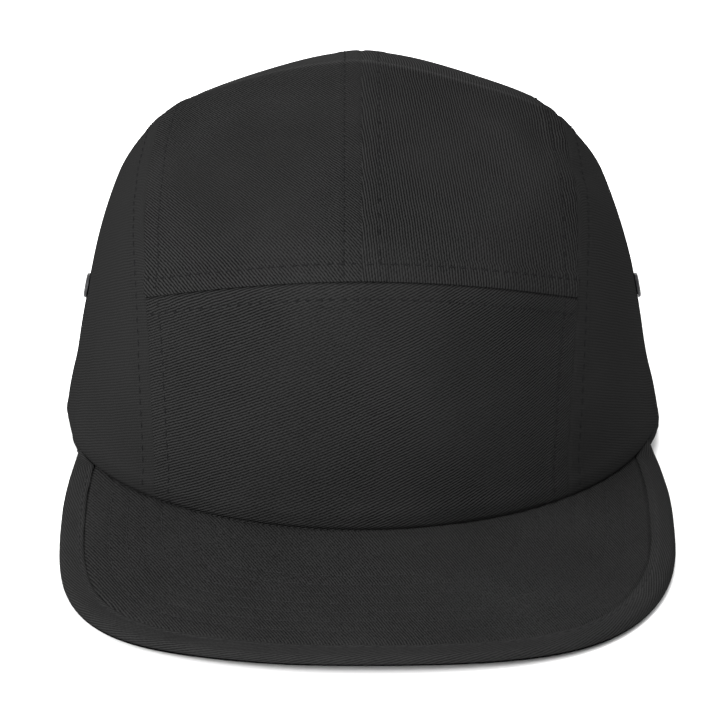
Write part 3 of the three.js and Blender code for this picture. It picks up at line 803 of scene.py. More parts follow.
class StitchRows:
    """Rows of stitches on one dressed piece, gathered into a single mesh."""

    # Each ring's share of the stitch's length, its size and its lift, in thread radii
    RINGS = ((0.0, 0.55, -1.0), (0.16, 0.95, 0.0), (0.5, 1.1, 0.3), (0.84, 0.95, 0.0), (1.0, 0.55, -1.0))
    SIDES = 6

    def __init__(self, piece):
        self.tree = bvhtree.BVHTree.FromObject(piece, bpy.context.evaluated_depsgraph_get())
        self.points = []
        self.faces = []

    def row(self, path, outward, pitch, length):
        """Stitches along a path of points of the cap. Outward gives each point's side that shows."""
        line = world(path)
        out = world(outward) - world(np.zeros(3))
        run = run_lengths(line, 0)
        count = int(run[-1] // pitch)
        lead = (run[-1] - count * pitch + pitch - length) / 2
        for n in range(count):
            self.stitch(run, line, out, lead + n * pitch, length)

    def stitch(self, run, line, out, start, length):
        def at(values, where):
            return np.array([np.interp(where, run, values[:, k]) for k in range(3)])

        way = unit(at(line, start + length) - at(line, start))
        base = len(self.points)
        for share, size, lift in self.RINGS:
            where = start + length * share
            side = unit(at(out, where))
            place, normal, _, _ = self.tree.find_nearest(Vector(at(line, where) + STITCH_REACH * side))
            normal = np.array(normal)
            if normal @ side < 0:
                normal = -normal
            across = unit(np.cross(way, normal))
            centre = np.array(place) + normal * (lift * THREAD_RADIUS)
            for k in range(self.SIDES):
                angle = FULL_TURN * k / self.SIDES
                spoke = math.cos(angle) * across + math.sin(angle) * normal
                self.points.append(centre + THREAD_RADIUS * size * spoke)
        sides = self.SIDES
        end = base + (len(self.RINGS) - 1) * sides
        for ring in range(base, end, sides):
            for k in range(sides):
                a = ring + k
                b = ring + (k + 1) % sides
                self.faces.append((a, b, b + sides, a + sides))
        for ring in (range(base + sides - 1, base - 1, -1), range(end, end + sides)):
            self.faces.append((ring[0], ring[1], ring[2], ring[3]))
            self.faces.append((ring[0], ring[3], ring[4], ring[5]))


def sew(piece, name, lines, material, pitch=STITCH_PITCH, length=STITCH_LENGTH):
    """Sews a piece along lines, each a path and the side that shows along it."""
    rows = StitchRows(piece)
    for path, outward in lines:
        rows.row(path, outward, pitch, length)
    stitches = make_piece(name, np.array(rows.points), np.array(rows.faces), material)


# Crown panels

def dress_panel(node, base, relief, across, along, angle, material, cells=None):
    """A panel's shell, from its grid on the crown's face and the relief of its outer face."""
    if cells is None:
        cells = np.ones((base.shape[0] - 1, base.shape[1] - 1), bool)
    normal = crown_normal(base)
    soft = soft_relief(base)
    outer = base + normal * (relief + soft)[..., None]
    inner = base + normal * (np.maximum(INNER_SHARE * soft, INNER_DEEPEST) - CLOTH_THICKNESS)[..., None]
    cloth = weave_places(across, along, angle)
    # The crown's panels get the painted highlight along the fold and the painted light on the roof behind it.
    piece = cloth_piece(f"{node}_cloth", node, outer, inner, cells, cloth, material, painted_crease_light(base))
    return piece, outer, normal


def front_panel(material):
    base = front_panel_grid()
    across = run_lengths(base, 1)
    up = run_lengths(base, 0)
    middle = across[:, across.shape[1] // 2][:, None]
    to_right, to_top = from_end(across, 1), from_end(up, 0)
    relief = seam_relief(to_top, across, SEEDS["front_top"]) + joint_relief(base)
    for distance, seed in ((across, SEEDS["front_left"]), (to_right, SEEDS["front_right"])):
        relief = relief + seam_relief(distance, up, seed, GROOVES["side"], inset=SIDE_STITCH_INSET)
    piece, outer, normal = dress_panel("front_panel", base, relief, across - middle, up, FRONT_WALE, material)
    return piece, [traced(outer, normal, across, SIDE_STITCH_INSET, 1),
                   traced(outer, normal, to_right, SIDE_STITCH_INSET, 1, np.s_[:, ::-1]),
                   traced(outer, normal, to_top, STITCH_INSET, 0, np.s_[::-1])]


def top_panel(side, material):
    base, cells = top_panel_grid(side)
    down = run_lengths(base, 0)
    to_seam = from_end(run_lengths(base, 1), 1)
    to_middle = np.abs(base[..., 0])
    behind = base[..., 1] < HEM_BEHIND["top"]
    arch = np.where(behind, arch_distance(base[..., 0], base[..., 2]), FAR_OUT)
    rim = np.where(behind, over_rim(base), FAR_OUT)
    seeds = {seam: seed + side for seam, seed in SEEDS.items()}
    relief = seam_relief(down, run_lengths(base, 1), seeds["top_front"], GROOVES["side"], OVERLAP_RISE)
    relief = relief + seam_relief(to_middle, down, seeds["top_middle"], GROOVES["middle"])
    relief = relief + seam_relief(to_seam, down, seeds["top_side"], GROOVES["side"], inset=SIDE_STITCH_INSET)
    relief = relief + hem_relief(arch, base[..., 2], seeds["arch"])
    relief = relief + hem_relief(rim, base[..., 0], seeds["top_rim"])
    piece, outer, normal = dress_panel(f"top_panel_{SIDE_NAMES[side]}", base, relief,
                                       side * to_middle, down, TOP_WALE[side], material, cells)
    over_arch = np.s_[:-GRID["top"]["leg"]]
    return piece, [traced(outer, normal, down, STITCH_INSET, 0),
                   traced(outer, normal, to_middle, STITCH_INSET, 1, over_arch),
                   traced(outer, normal, to_seam, SIDE_STITCH_INSET, 1, np.s_[:, ::-1]),
                   arch_row(side)]


def arch_row(side):
    """The row of stitches beside the arched opening, up one leg and over to the middle."""
    t = np.linspace(0, np.pi / 2, 2 * ARCH_SAMPLES)
    x = (ARCH_HALF_WIDTH + HEM_INSET) * np.cos(t)
    z = ARCH_LEG_HEIGHT + (ARCH_HEIGHT - ARCH_LEG_HEIGHT + HEM_INSET) * np.sin(t)
    leg = np.linspace(0.001, ARCH_LEG_HEIGHT, 12)[:-1]
    x = np.concatenate([np.full(len(leg), x[0]), x])
    z = np.concatenate([leg, z])
    keep = x > STITCH_INSET / 4
    path = cast_out(points_of(side * x[keep], 0, z[keep]), points_of(0, -1, 0))
    return path, crown_normal(path)


def open_vents(points, seats):
    """Moves the points of a panel out of its vent holes, and says which cells are left."""
    inside = np.zeros(points.shape[:2], bool)
    for place, normal in seats:
        offset = points - place
        flat = offset - (offset @ normal)[..., None] * normal
        radius = np.linalg.norm(flat, axis=-1)
        hit = radius < VENT_CUT_RADIUS
        push = (VENT_CUT_RADIUS - radius)[..., None] * flat / np.maximum(radius, 1e-9)[..., None]
        points = np.where(hit[..., None], points + push, points)
        inside |= hit
    corners = inside[:-1, :-1] & inside[1:, :-1] & inside[1:, 1:] & inside[:-1, 1:]
    return points, ~corners


def side_panel(side, material):
    base, cells = open_vents(side_panel_grid(side), vent_seats(side))
    across = run_lengths(base, 1)
    up = run_lengths(base, 0)
    seam = np.concatenate([base[:, 0], base[-1, 1:-1], base[::-1, -1]])
    rim = np.where(base[..., 1] < HEM_BEHIND["side"], over_rim(base), FAR_OUT)
    relief = joint_relief(base) + seam_relief(*from_line(base, seam), SEEDS["side"] + side, GROOVES["side"])
    relief = relief + hem_relief(rim, across, SEEDS["side_rim"] + side)
    piece, _, _ = dress_panel(f"side_panel_{SIDE_NAMES[side]}", base, relief,
                              across, up, SIDE_WALE, material, cells)
    way = np.cross(crown_normal(seam), unit(np.gradient(seam, axis=0)))
    path = seam + STITCH_INSET * way * np.sign(side * way[:, 0].sum())
    path = path[over_rim(path) > STITCH_INSET / 3]
    return piece, [(path, crown_normal(path))]


# Visor

def visor_outline(angle):
    """The outline in plan, round the visor's widest line. An angle of zero is forward."""
    s, c = np.sin(angle), np.cos(angle)
    reach = np.where(c > 0, VISOR_FRONT_REACH - VISOR_WIDEST_FORWARD, VISOR_REAR_REACH)
    squareness = np.where(c > 0, VISOR_SQUARENESS, 2)
    shares = (np.abs(s) / VISOR_HALF_WIDTH) ** squareness + (np.abs(c) / reach) ** squareness
    radius = shares ** (-1 / squareness)
    turn = np.degrees(angle)
    radius = radius + sum(row["out"] * hump(turn - row["angle"], row["spread"]) for row in VISOR_SWELLS)
    return points_of(radius * s, VISOR_WIDEST_FORWARD + radius * c, 0)


def visor_inward(angle):
    a, b = visor_outline(angle - 0.01), visor_outline(angle + 0.01)
    return unit(points_of(b[..., 1] - a[..., 1], a[..., 0] - b[..., 0], 0))


def visor_form(x, forward):
    aside = (x / VISOR_HALF_WIDTH) ** 2
    slope = VISOR_FORM["slope"] * (1 - VISOR_FORM["side_level"] * aside)
    return -slope * (forward - CROWN_FRONT_REACH) - VISOR_FORM["arch"] * VISOR_HALF_WIDTH * aside


quarter = visor_outline(np.linspace(-np.pi / 2, np.pi / 2, 181))
visor_lowest = visor_form(quarter[:, 0], quarter[:, 1]).min()


def visor_top(p):
    return visor_form(p[..., 0], p[..., 1]) - visor_lowest + VISOR_THICKNESS


def at_height(p, z):
    return points_of(p[..., 0], p[..., 1], z)


def sewn_on(p):
    """Points of the visor where it is sewn on, slightly to one side and slightly turned."""
    share = (p[..., 1] - VISOR_WIDEST_FORWARD) / (VISOR_FRONT_REACH - VISOR_WIDEST_FORWARD)
    return p + points_of(VISOR_SIDE_SHIFT - VISOR_TURN_SHIFT * smooth_step(0.2, 0.8, share), 0, 0)


def beside_crown(p):
    return crown_distance(sewn_on(p))


def width_to_crown(p, way):
    low = np.zeros(p.shape[:-1])
    return solve(low, low + FAR_OUT / 3, lambda d: VISOR_TUCK - beside_crown(p + way * d[..., None]))


def visor_end_angle(side, margin):
    def closing(angle):
        way = visor_inward(side * angle)
        edge = visor_outline(side * angle) + margin * way
        p = at_height(edge, visor_top(edge))
        open_width = VISOR_TIP_WIDTH - width_to_crown(p, way)
        return np.where(beside_crown(p) < VISOR_TUCK, 1.0, open_width)

    return float(solve(np.float64(math.pi / 2), np.float64(math.pi * 0.9), closing))


def outline_distance(p):
    """How far points of the visor lie in from its outline, in plan."""
    line = visor_outline(np.linspace(-OUTLINE_SPAN, OUTLINE_SPAN, OUTLINE_SAMPLES))
    return from_line(p, line)[0]


def visor_relief(p, edge_distance, crown_distance_in_plan, face):
    """Low swells between the stitch rows, the pull of each row, and the tuck into the crown's joint."""
    cloth = VISOR_CLOTH
    last = VISOR_FIRST_ROW + (VISOR_ROWS - 1) * VISOR_ROW_SPACING
    row = (edge_distance - VISOR_FIRST_ROW) / VISOR_ROW_SPACING
    in_rows = smooth_step(VISOR_FIRST_ROW - cloth["row_fade"], VISOR_FIRST_ROW, edge_distance)
    in_rows = in_rows * (1 - smooth_step(last, last + cloth["row_fade"], edge_distance))
    off_row = np.abs(row - np.round(row)) * VISOR_ROW_SPACING
    relief = -cloth["row_pull"] * hump(off_row, cloth["row_pull_width"]) * in_rows
    relief = relief - cloth["tuck"] * hump(crown_distance_in_plan - cloth["tuck_width"], cloth["tuck_width"])
    return relief + sum(row["height"] * waves(p, row["wavelength"], row["seed"] + face)
                        for row in VISOR_WAVES)


def visor_plate(material):
    margin = BINDING_WIDTH - UNDER_BINDING
    ends = [visor_end_angle(side, margin) for side in SIDE_NAMES]
    angle = mix(-ends[0], ends[1], crowded(GRID["visor"]["across"], 0.2))
    edge = visor_outline(angle) + margin * visor_inward(angle)
    way = unit(-edge)
    out = crowded(GRID["visor"]["out"], 0.4)[:, None]
    faces = []
    for face, drop in ((1, 0), (-1, VISOR_THICKNESS)):
        width = width_to_crown(at_height(edge, visor_top(edge) - drop), way)
        p = edge + way * (width * (1 - out))[..., None]
        flat = at_height(p, 0)
        relief = visor_relief(flat, outline_distance(flat), width * (1 - out), face)
        faces.append(at_height(p, visor_top(p) - drop + face * relief))
    cloth = weave_places(faces[0][..., 0], -faces[0][..., 1], VISOR_WALE)
    cells = np.ones((len(out) - 1, len(angle) - 1), bool)
    upper, lower = (sewn_on(face) for face in faces)
    return cloth_piece("visor_cloth", "visor", upper, lower, cells, cloth, material)


def visor_rows(inset, span):
    """A path that runs beside the outline, from the crown on one side to the crown on the other."""
    angle = np.linspace(-span, span, ROW_SAMPLES)
    edge = visor_outline(angle) + inset * visor_inward(angle)
    p = at_height(edge, visor_top(edge))
    kept = beside_crown(p) > VISOR_ROWS_CLEAR
    middle = len(angle) // 2
    first = middle - np.argmax(~kept[:middle][::-1])
    last = middle + np.argmax(~kept[middle:])
    return sewn_on(p[first:last])


def binding_rings(bend, under, width):
    """Rings of the folded tape: how far each lies in from the visor's edge, and over its mid height."""
    half = VISOR_THICKNESS / 2
    rings = []
    for share in np.linspace(1, 0, BINDING_RINGS["upper"] + 1)[:-1]:
        rise = BINDING["lip"] * smooth_step(0, 0.10, 1 - share) + BINDING["full"] * np.sin(np.pi * share)
        rings.append((mix(bend, width, share), half + rise))
    for turn in np.radians(np.linspace(90, -90, BINDING_RINGS["edge"])):
        top = half + BINDING["lip"] * max(math.sin(turn), 0)
        rings.append(((bend if turn > 0 else under) * (1 - np.cos(turn)), top * math.sin(turn)))
    for share in np.linspace(0, 1, BINDING_RINGS["lower"] + 1)[1:]:
        rings.append((mix(under, width, share), -half + BINDING["under_full"] * share))
    return rings


def binding_sections():
    """The tape's rings, from its upper inner edge over the visor's edge to its lower one, and its wear."""
    ends = [visor_end_angle(side, 0) for side in SIDE_NAMES]
    angle = mix(-ends[0], ends[1], np.linspace(0, 1, GRID["binding"]["along"] + 1))
    way = visor_inward(angle)
    edge = visor_outline(angle)
    width = np.minimum(BINDING_WIDTH, width_to_crown(at_height(edge, visor_top(edge)), way))
    under = mix(BINDING_BEND, BINDING_UNDERCUT, hump(edge[..., 0], BINDING["undercut_width"]))
    rings = binding_rings(np.minimum(BINDING_BEND, width / 2), np.minimum(under, width * 0.8), width)
    run = run_lengths(edge, 0)
    sections = []
    for n, (inset, height) in enumerate(rings):
        upper = max(0.0, 1 - n / BINDING_RINGS["rippled"])
        place = points_of(run / BINDING["ripple_length"], n / BINDING_RINGS["ripple"], 0)
        ripple = BINDING["ripple"] * upper * waves(place, 1, SEEDS["binding"])
        stitch = -BINDING["pull"] * upper * hump(width - inset - BINDING_STITCH, BINDING["pull_width"])
        p = edge + way * (inset - ripple / 2)[..., None]
        sections.append(at_height(p, visor_top(p) - VISOR_THICKNESS / 2 + height + ripple + stitch))
    insets = np.stack([inset for inset, _ in rings], axis=1)
    upper = np.arange(len(rings)) < BINDING_RINGS["rippled"]
    wear_and_highlight = WEAR_AND_HIGHLIGHT["tape"] * hump(width[:, None] - insets - BINDING_STITCH, WEAR_AND_HIGHLIGHT["tape_width"]) * upper
    return np.stack(sections, axis=1), run, wear_and_highlight


def ring_faces(rows, columns, closed):
    """Faces round rings of points. Rings that aren't joined end to end are closed by strips across."""
    index = np.arange(rows * columns).reshape(rows, columns)
    around = np.roll(index, -1, axis=1)
    if closed:
        nexts = np.roll(index, -1, axis=0)
        return np.stack([index, nexts, np.roll(nexts, -1, axis=1), around], axis=-1).reshape(-1, 4)
    sides = np.stack([index[:-1], index[1:], around[1:], around[:-1]], axis=-1).reshape(-1, 4)
    strips = []
    for ring, turned in ((index[0], False), (index[-1], True)):
        for k in range(columns // 2 - 1):
            strip = [ring[k], ring[k + 1], ring[-2 - k], ring[-1 - k]]
            strips.append(strip[::-1] if turned else strip)
    return np.concatenate([sides, np.array(strips)])


def ring_piece(name, node, rings, closed, material, cloth=None, wear_and_highlight=None):
    """A piece over rings of points of the cap."""
    piece = make_piece(name, world(rings), ring_faces(*rings.shape[:2], closed), material, cloth, wear_and_highlight)
    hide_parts(node)
    return piece


def visor_binding(material):
    sections, run, wear_and_highlight = binding_sections()
    around = run_lengths(sections, 1)
    cloth = weave_places(np.broadcast_to(run[:, None], around.shape), -around, BINDING_WALE)
    return ring_piece("visor_binding_tape", "visor_binding", sewn_on(sections), False,
                      material, cloth, wear_and_highlight)


# Vents

EYELET_SIDES = 56
EYELET_SECTION = records(
    "radius height",
    (0.00200, 0.00040),
    (0.00212, 0.00078),
    (0.00245, 0.00103),
    (0.00290, 0.00108),
    (0.00335, 0.00096),
    (0.00365, 0.00068),
    (0.00375, 0.00030),
    (0.00360, 0.00012),
    (0.00285, 0.00010),
    (0.00255, -0.00030),
    (0.00255, -0.00185),
    (0.00300, -0.00192),
    (0.00372, -0.00195),
    (0.00370, -0.00235),
    (0.00300, -0.00252),
    (0.00215, -0.00240),
    (0.00200, -0.00200),
    (0.00196, -0.00080),
)


def eyelets(material):
    radius, height = (np.array([row[key] for row in EYELET_SECTION]) for key in ("radius", "height"))
    turn = np.linspace(0, FULL_TURN, EYELET_SIDES, endpoint=False)
    for side, name in SIDE_NAMES.items():
        for (place, normal), order in zip(vent_seats(side), ("front", "back")):
            across = unit(np.cross(normal, UP))
            up = np.cross(across, normal)
            out = np.cos(turn)[:, None] * across + np.sin(turn)[:, None] * up
            lift = height + soft_relief(place[None])[0]
            rings = place + out[:, None] * radius[:, None] + normal * lift[:, None]
            node = f"eyelet_{name}_{order}"
            ring_piece(f"{node}_ring", node, rings, True, material)


# Inside band, strap and buckle

def back_angle(x):
    low = np.float64(-math.pi)
    return float(solve(low, low / 2, lambda angle: -rim_point(angle)[..., 0] - x))


def inside_wall(angle, rise, depth):
    rim = rim_point(angle)
    start = points_of(0, 0, rim[..., 2] + rise)
    face = cast_out(start, at_height(rim, 0))
    normal = crown_normal(face)
    return face - unit(at_height(normal, 0)) * depth[..., None]


def inside_strip(name, node, size, ends, bottom, height, thickness, relief, wale, material):
    """A strip against the inside of the crown. Its relief is a function of its length and height."""
    along = mix(*ends, np.linspace(0, 1, size["along"] + 1))
    angle, up = np.broadcast_arrays(along, crowded(size["up"], 0.6)[:, None])
    rise = height * up
    depth = np.full(angle.shape, CLOTH_THICKNESS + LAYER_GAP)
    run = run_lengths(inside_wall(angle, bottom + rise, depth), 1)
    roll = STRIP["roll"] * thickness * hump(np.minimum(rise, height - rise), STRIP["roll_width"])
    swell = relief(run, rise)
    outer = inside_wall(angle, bottom + rise, depth + roll + np.maximum(-swell, 0))
    depth = depth + thickness - roll + np.maximum(swell, -STRIP["most"] * thickness)
    inner = inside_wall(angle, bottom + rise, depth)
    cells = np.ones((size["up"], size["along"]), bool)
    piece = cloth_piece(name, node, outer, inner, cells, weave_places(run, rise, wale), material)
    return piece, inner, outer


def ripples(name, run, rise):
    row = RIPPLES[name]
    return row["height"] * waves(points_of(run / row["length"], rise / row["width"], 0), 1, row["seed"])


def sweatband(material):
    end = back_angle(ARCH_HALF_WIDTH + STRAP_TUCK + LAYER_GAP)

    def relief(run, rise):
        at_edge = ripples("band_edge", run, rise) * hump(rise, BAND_EDGE)
        return ripples("band", run, rise) * rise / BAND_HEIGHT + at_edge

    piece, inner, _ = inside_strip("sweatband_tape", "sweatband", GRID["band"], (end, -end), BAND_SETBACK,
                                   BAND_HEIGHT, BAND_THICKNESS, relief, BAND_WALE, material)
    return piece, inner


def back_strap(material):
    end = back_angle(ARCH_HALF_WIDTH + STRAP_TUCK)

    def relief(run, rise):
        return ripples("strap", run, rise)

    piece, _, outer = inside_strip("back_strap_cloth", "back_strap", GRID["strap"], (end, -end - FULL_TURN),
                                   STRAP_LIFT, STRAP_WIDTH, STRAP_THICKNESS, relief, STRAP_WALE, material)
    return piece, outer


def strap_buckle(material):
    """A rounded metal loop round the strap."""
    angle = np.float64(back_angle(BUCKLE_PLACE))
    depth = np.float64(CLOTH_THICKNESS + LAYER_GAP + STRAP_THICKNESS / 2)
    low = inside_wall(angle, STRAP_LIFT, depth)
    high = inside_wall(angle, STRAP_LIFT + STRAP_WIDTH, depth)
    up = unit(high - low)
    level = unit(at_height(crown_normal(low), 0))
    along = unit(np.cross(level, up))
    out = np.cross(up, along)
    hole = np.array([STRAP_THICKNESS / 2 + LAYER_GAP, STRAP_WIDTH / 2 + BUCKLE_FREE_PLAY])
    turn = np.linspace(0, FULL_TURN, 64, endpoint=False)
    path = np.stack([np.cos(turn), np.sin(turn)], axis=-1)
    square = np.sign(path) * (hole - BUCKLE_CORNER) + path * BUCKLE_CORNER
    section = np.linspace(0, FULL_TURN, 24, endpoint=False)
    wide = np.sign(np.cos(section)) * np.abs(np.cos(section)) ** BUCKLE_ROUNDING["wide"]
    deep = (1 + np.sign(np.sin(section)) * np.abs(np.sin(section)) ** BUCKLE_ROUNDING["deep"]) / 2
    bars = path * [BUCKLE_BARS["side"], BUCKLE_BARS["end"]]
    offset = square[:, None] + deep[None, :, None] * bars[:, None]
    rings = (low + high) / 2 + offset[..., :1] * out + offset[..., 1:] * up
    rings = rings + (wide * BUCKLE_LENGTH / 2)[None, :, None] * along
    ring_piece("strap_buckle_loop", "strap_buckle", rings, True, material)


# Finishes

def operator(operation, reflected=False):
    """An operator of Value, which adds one Math node."""
    def method(value, other):
        pair = (other, value) if reflected else (value, other)
        return value.math(operation, *pair)

    return method


class Value:
    """A number that varies over a surface. Arithmetic on it adds Math nodes."""

    def __init__(self, nodes, socket):
        self.nodes = nodes
        self.socket = socket

    def math(self, operation, *values):
        return self.nodes.add("ShaderNodeMath", {"operation": operation}, dict(enumerate(values)))

    __add__ = operator("ADD")
    __radd__ = operator("ADD", reflected=True)
    __sub__ = operator("SUBTRACT")
    __rsub__ = operator("SUBTRACT", reflected=True)
    __mul__ = operator("MULTIPLY")
    __rmul__ = operator("MULTIPLY", reflected=True)
    __truediv__ = operator("DIVIDE")
    __rtruediv__ = operator("DIVIDE", reflected=True)

    def floor(self):
        return self.math("FLOOR", self)

    def wave(self):
        """A wave between 0 and 1, once for each step of 1."""
        return self.math("SINE", self * FULL_TURN) * 0.5 + 0.5


class Nodes:
    """A material's node tree."""

    def __init__(self, name):
        self.material = bpy.data.materials.new(name)
        self.material.use_nodes = True
        self.tree = self.material.node_tree
        self.tree.nodes.clear()

    def add(self, kind, settings=None, values=None, output=0):
        """Adds a node, sets it up, and fills or links its sockets."""
        node = self.tree.nodes.new(kind)
        for key, setting in (settings or {}).items():
            setattr(node, key, setting)
        for key, value in (values or {}).items():
            if isinstance(value, Value):
                self.tree.links.new(value.socket, node.inputs[key])
            else:
                node.inputs[key].default_value = value
        return Value(self, node.outputs[output])

    def noise(self, place, scale, detail=2.0, roughness=0.5):
        values = {"Vector": place, "Scale": scale, "Detail": detail, "Roughness": roughness}
        return self.add("ShaderNodeTexNoise", values=values)

    def colour(self, factor, dark, light):
        values = {0: factor, 6: (*dark, 1), 7: (*light, 1)}
        return self.add("ShaderNodeMix", {"data_type": "RGBA", "clamp_factor": False}, values, output=2)

    def limit(self, value, low, high, to_low=0.0, to_high=1.0):
        values = {0: value, 1: low, 2: high, 3: to_low, 4: to_high}
        return self.add("ShaderNodeMapRange", {"interpolation_type": "SMOOTHSTEP"}, values)

    def bump(self, height, distance):
        return self.add("ShaderNodeBump", values={"Height": height, "Distance": distance})

    def body(self):
        """Places in the piece's own coordinates."""
        return self.add("ShaderNodeTexCoord", output=3)

    def finish(self, **sockets):
        values = {name.replace("_", " "): value for name, value in sockets.items()}
        surface = self.add("ShaderNodeBsdfPrincipled", values=values)
        output = self.tree.nodes.new("ShaderNodeOutputMaterial")
        self.tree.links.new(surface.socket, output.inputs["Surface"])
        return self.material


def grey(level, blue=None):
    """A grey, or one with its own blue."""
    return level, level, blue or level


def weave(nodes, wale_pitch):
    """The weave's slanting wales, its floats and its fibres, each from 0 in a furrow to 1."""
    place = nodes.add("ShaderNodeAttribute", {"attribute_name": "cloth"}, output=1)
    across = nodes.add("ShaderNodeSeparateXYZ", values={"Vector": place})
    along = nodes.add("ShaderNodeSeparateXYZ", values={"Vector": place}, output=1)
    drift = nodes.noise(place, WEAVE["drift_scale"]) * WEAVE["drift"]
    jitter = nodes.noise(place, WEAVE["jitter_scale"], 1.0) * WEAVE["jitter"]
    turn = across / wale_pitch + drift + jitter
    floats = along / WEAVE["float_length"] + turn.floor() * WEAVE["stagger"]
    return turn.wave(), floats.wave(), nodes.noise(place, WEAVE["fibre_scale"], 3.0, 0.7)


def twill(name, dark, light, wale_pitch=0.00077, bump=0.00017, grain=0.6, painted_under_shade=False):
    """Cotton twill, its wales lighter than the furrows. It is lighter still where its wear and highlight
    values say: rubbed tape beside its stitches, a painted highlight along the crown's fold and painted light
    on the roof behind it. The tape's downward-facing cloth can be painted dark as shade under the visor's
    edge.
    """
    look = CLOTH_TONE
    nodes = Nodes(name)
    wales, floats, fibres = weave(nodes, wale_pitch)
    body = nodes.body()
    paler = nodes.noise(body, look["faded_scale"], 3.0, 0.55)
    specks = nodes.noise(body, look["speck_scale"], 2.0, 0.6)
    crisp = nodes.limit(nodes.noise(body, look["crisp_scale"]), 0.35, 0.65, look["softest"], look["crispest"])
    wales = (wales - 0.5) * crisp + 0.5
    height = wales * CLOTH_HEIGHT["wales"] + floats * CLOTH_HEIGHT["floats"] + fibres * CLOTH_HEIGHT["fibres"]
    speckled = floats * look["floats"] + (fibres - 0.5) * look["fibres"] + (specks - 0.5) * grain
    tone = nodes.limit(wales + speckled + paler * look["paler"], look["darkest"], look["lightest"])
    # Lighter by the wear and highlight values: rubbed tape beside its stitches, a painted highlight on the
    # crown's fold and painted light on the roof behind it.
    tone = tone + nodes.add("ShaderNodeAttribute", {"attribute_name": "wear_and_highlight"}, output=2)
    # Painted shade: cloth that faces downward is darkened, standing in for the shadow under the visor's edge.
    if painted_under_shade:
        facing = nodes.add("ShaderNodeTexCoord", output=1)
        up = nodes.add("ShaderNodeSeparateXYZ", values={"Vector": facing}, output=2)
        unshaded = nodes.limit(up, look["shade_full_below"], look["shade_gone_above"])
        tone = tone * unshaded - (1 - unshaded) * look["under_shade"]
    return nodes.finish(
        Base_Color=nodes.colour(tone, grey(dark), grey(light)),
        Roughness=0.95,
        Specular_IOR_Level=0.0,
        Normal=nodes.bump(height, bump))


def thread_finish(name, dark, light):
    nodes = Nodes(name)
    strands = nodes.noise(nodes.body(), 5200.0)
    return nodes.finish(
        Base_Color=nodes.colour(nodes.limit(strands, 0.3, 0.7), dark, light),
        Roughness=0.8,
        Specular_IOR_Level=0.0,
        Normal=nodes.bump(strands, 0.00004))


def metal_finish(name, dark, light, metallic, roughness):
    nodes = Nodes(name)
    body = nodes.body()
    cloudy = nodes.noise(body, 700.0, 3.0, 0.6)
    grain = nodes.noise(body, 6000.0)
    return nodes.finish(
        Base_Color=nodes.colour(nodes.limit(cloudy, 0.35, 0.7), dark, light),
        Metallic=metallic,
        Roughness=nodes.limit(cloudy + grain * 0.4, 0.4, 1.0, *roughness),
        Normal=nodes.bump(grain, 0.00002))


def floor_finish():
    nodes = Nodes("white_ground")
    return nodes.finish(
        Base_Color=nodes.colour(nodes.noise(nodes.body(), 3.0), grey(0.93), grey(0.95)),
        Roughness=0.9,
        Specular_IOR_Level=0.0)


# The studio

FLOOR_REACH = 4
FLOOR_LINES = 9
LIGHTS_AIM = (0, 0, 0.05)


def make_floor():
    side = np.linspace(-FLOOR_REACH, FLOOR_REACH, FLOOR_LINES)
    x, y = np.meshgrid(side, side, indexing="ij")
    faces = grid_faces(FLOOR_LINES, FLOOR_LINES)
    mesh = bpy.data.meshes.new("ground")
    mesh.from_pydata(points_of(x, y, 0).reshape(-1, 3).tolist(), [], faces.tolist())
    mesh.materials.append(floor_finish())
    ground = bpy.data.objects.new("ground", mesh)
    bpy.context.scene.collection.objects.link(ground)


def aim(item, place, target):
    item.location = place
    item.rotation_euler = (Vector(target) - Vector(place)).to_track_quat("-Z", "Y").to_euler()


def make_camera():
    camera = bpy.data.objects.new("camera", bpy.data.cameras.new("camera"))
    bpy.context.scene.collection.objects.link(camera)
    rise = math.radians(CAMERA_ELEVATION)
    target = Vector((CAMERA_TARGET_SIDE, middle_y, CAMERA_TARGET_HEIGHT))
    back = Vector((0, -math.cos(rise), math.sin(rise))) * CAMERA_DISTANCE
    aim(camera, target + back, target)
    camera.data.sensor_width = SENSOR_WIDTH * 1000
    camera.data.lens = SENSOR_WIDTH * 1000 * PIXELS_PER_METRE * CAMERA_DISTANCE / IMAGE_SIZE
    bpy.context.scene.camera = camera


LIGHTS = records(
    "name place size watts",
    ("left_window", (-2.1, -1.2, 1.6), 1.3, 52),
    ("front_window", (-1.3, -2.2, 1.4), 1.3, 77),
    ("overhead", (0, 0, 2.9), 1.3, 55),
    ("behind", (0, 2.6, 1.1), 1.3, 80),
)
SKY = 0.96


def make_lights():
    for row in LIGHTS:
        data = bpy.data.lights.new(row["name"], "AREA")
        data.size = row["size"]
        data.energy = row["watts"]
        lamp = bpy.data.objects.new(row["name"], data)
        bpy.context.scene.collection.objects.link(lamp)
        aim(lamp, row["place"], LIGHTS_AIM)
    world = bpy.data.worlds.new("studio")
    world.use_nodes = True
    sky = world.node_tree.nodes["Background"]
    sky.inputs["Color"].default_value = (1, 1, 1, 1)
    sky.inputs["Strength"].default_value = SKY
    bpy.context.scene.world = world
    bpy.context.scene.view_settings.view_transform = "Standard"


# The whole cap

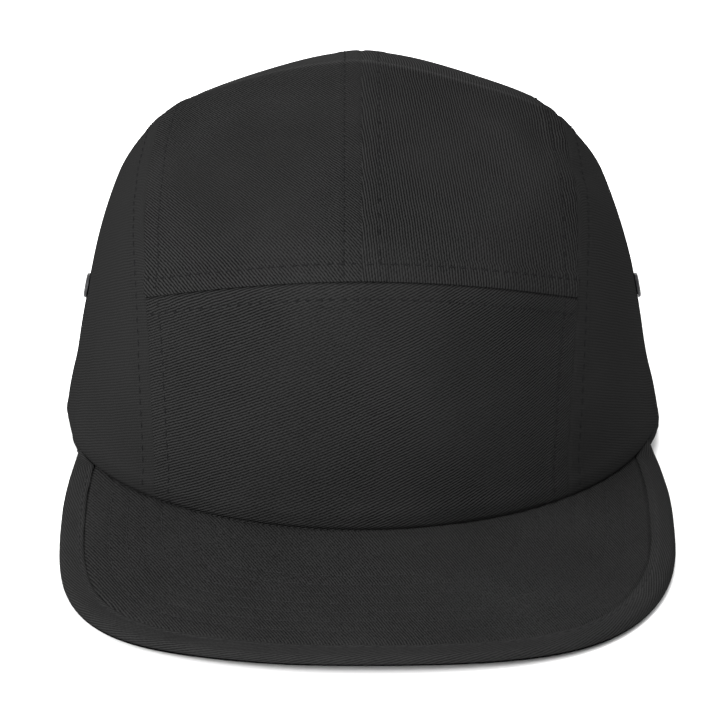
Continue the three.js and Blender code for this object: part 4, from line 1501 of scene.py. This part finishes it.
def make_panels(cloth, side_cloth, thread):
    panels = [front_panel(cloth)]
    panels += [top_panel(side, cloth) for side in SIDE_NAMES]
    panels += [side_panel(side, side_cloth) for side in SIDE_NAMES]
    for piece, lines in panels:
        sew(piece, piece.name.replace("_cloth", "_stitches"), lines, thread)


def make_visor(cloth, tape, thread):
    lines = []
    for n in range(VISOR_ROWS):
        path = visor_rows(VISOR_FIRST_ROW + n * VISOR_ROW_SPACING, ROW_SPANS["visor"])
        up = UP + 0 * path
        lines += [(path, up), (path - up * VISOR_THICKNESS, -up)]
    sew(visor_plate(cloth), "visor_stitches", lines, thread, VISOR_STITCH_PITCH, VISOR_STITCH_LENGTH)
    path = visor_rows(BINDING_WIDTH - BINDING_STITCH, ROW_SPANS["binding"])
    sew(visor_binding(tape), "visor_binding_stitches", [(path, UP + 0 * path)], thread,
        VISOR_STITCH_PITCH, VISOR_STITCH_LENGTH)


def make_cap():
    cloth = twill("black_twill", 0.0022, 0.0204)
    side_cloth = twill("side_twill", 0.0086, 0.0146, bump=0.00006)
    visor_cloth = twill("visor_twill", 0.0040, 0.0196, bump=0.00014, grain=1.5)
    # The tape's underside is painted dark as shade beneath the visor's edge.
    tape = twill("bias_tape", 0.0062, 0.0192, wale_pitch=0.0007, bump=0.00012, grain=0.9, painted_under_shade=True)
    band_cloth = twill("band_twill", 0.005, 0.018, wale_pitch=0.0006)
    thread = thread_finish("sewing_thread", grey(0.0055, 0.0057), grey(0.0135, 0.0139))
    visor_thread = thread_finish("visor_thread", grey(0.0088, 0.0090), grey(0.0205, 0.0209))
    vent_metal = metal_finish("vent_metal", grey(0.012, 0.013), grey(0.030, 0.032), 0.7, (0.42, 0.62))
    buckle_metal = metal_finish("buckle_metal", grey(0.06, 0.062), grey(0.09, 0.093), 0.9, (0.28, 0.44))

    make_panels(cloth, side_cloth, thread)
    make_visor(visor_cloth, tape, visor_thread)
    eyelets(vent_metal)
    band, face = sweatband(band_cloth)
    sew(band, "sweatband_stitches", [(face[3], -crown_normal(face[3]))], thread)
    strap, face = back_strap(cloth)
    sew(strap, "back_strap_stitches", [(face[n], crown_normal(face[n])) for n in (2, -3)], thread)
    strap_buckle(buckle_metal)


make_floor()
make_camera()
make_lights()
make_cap()
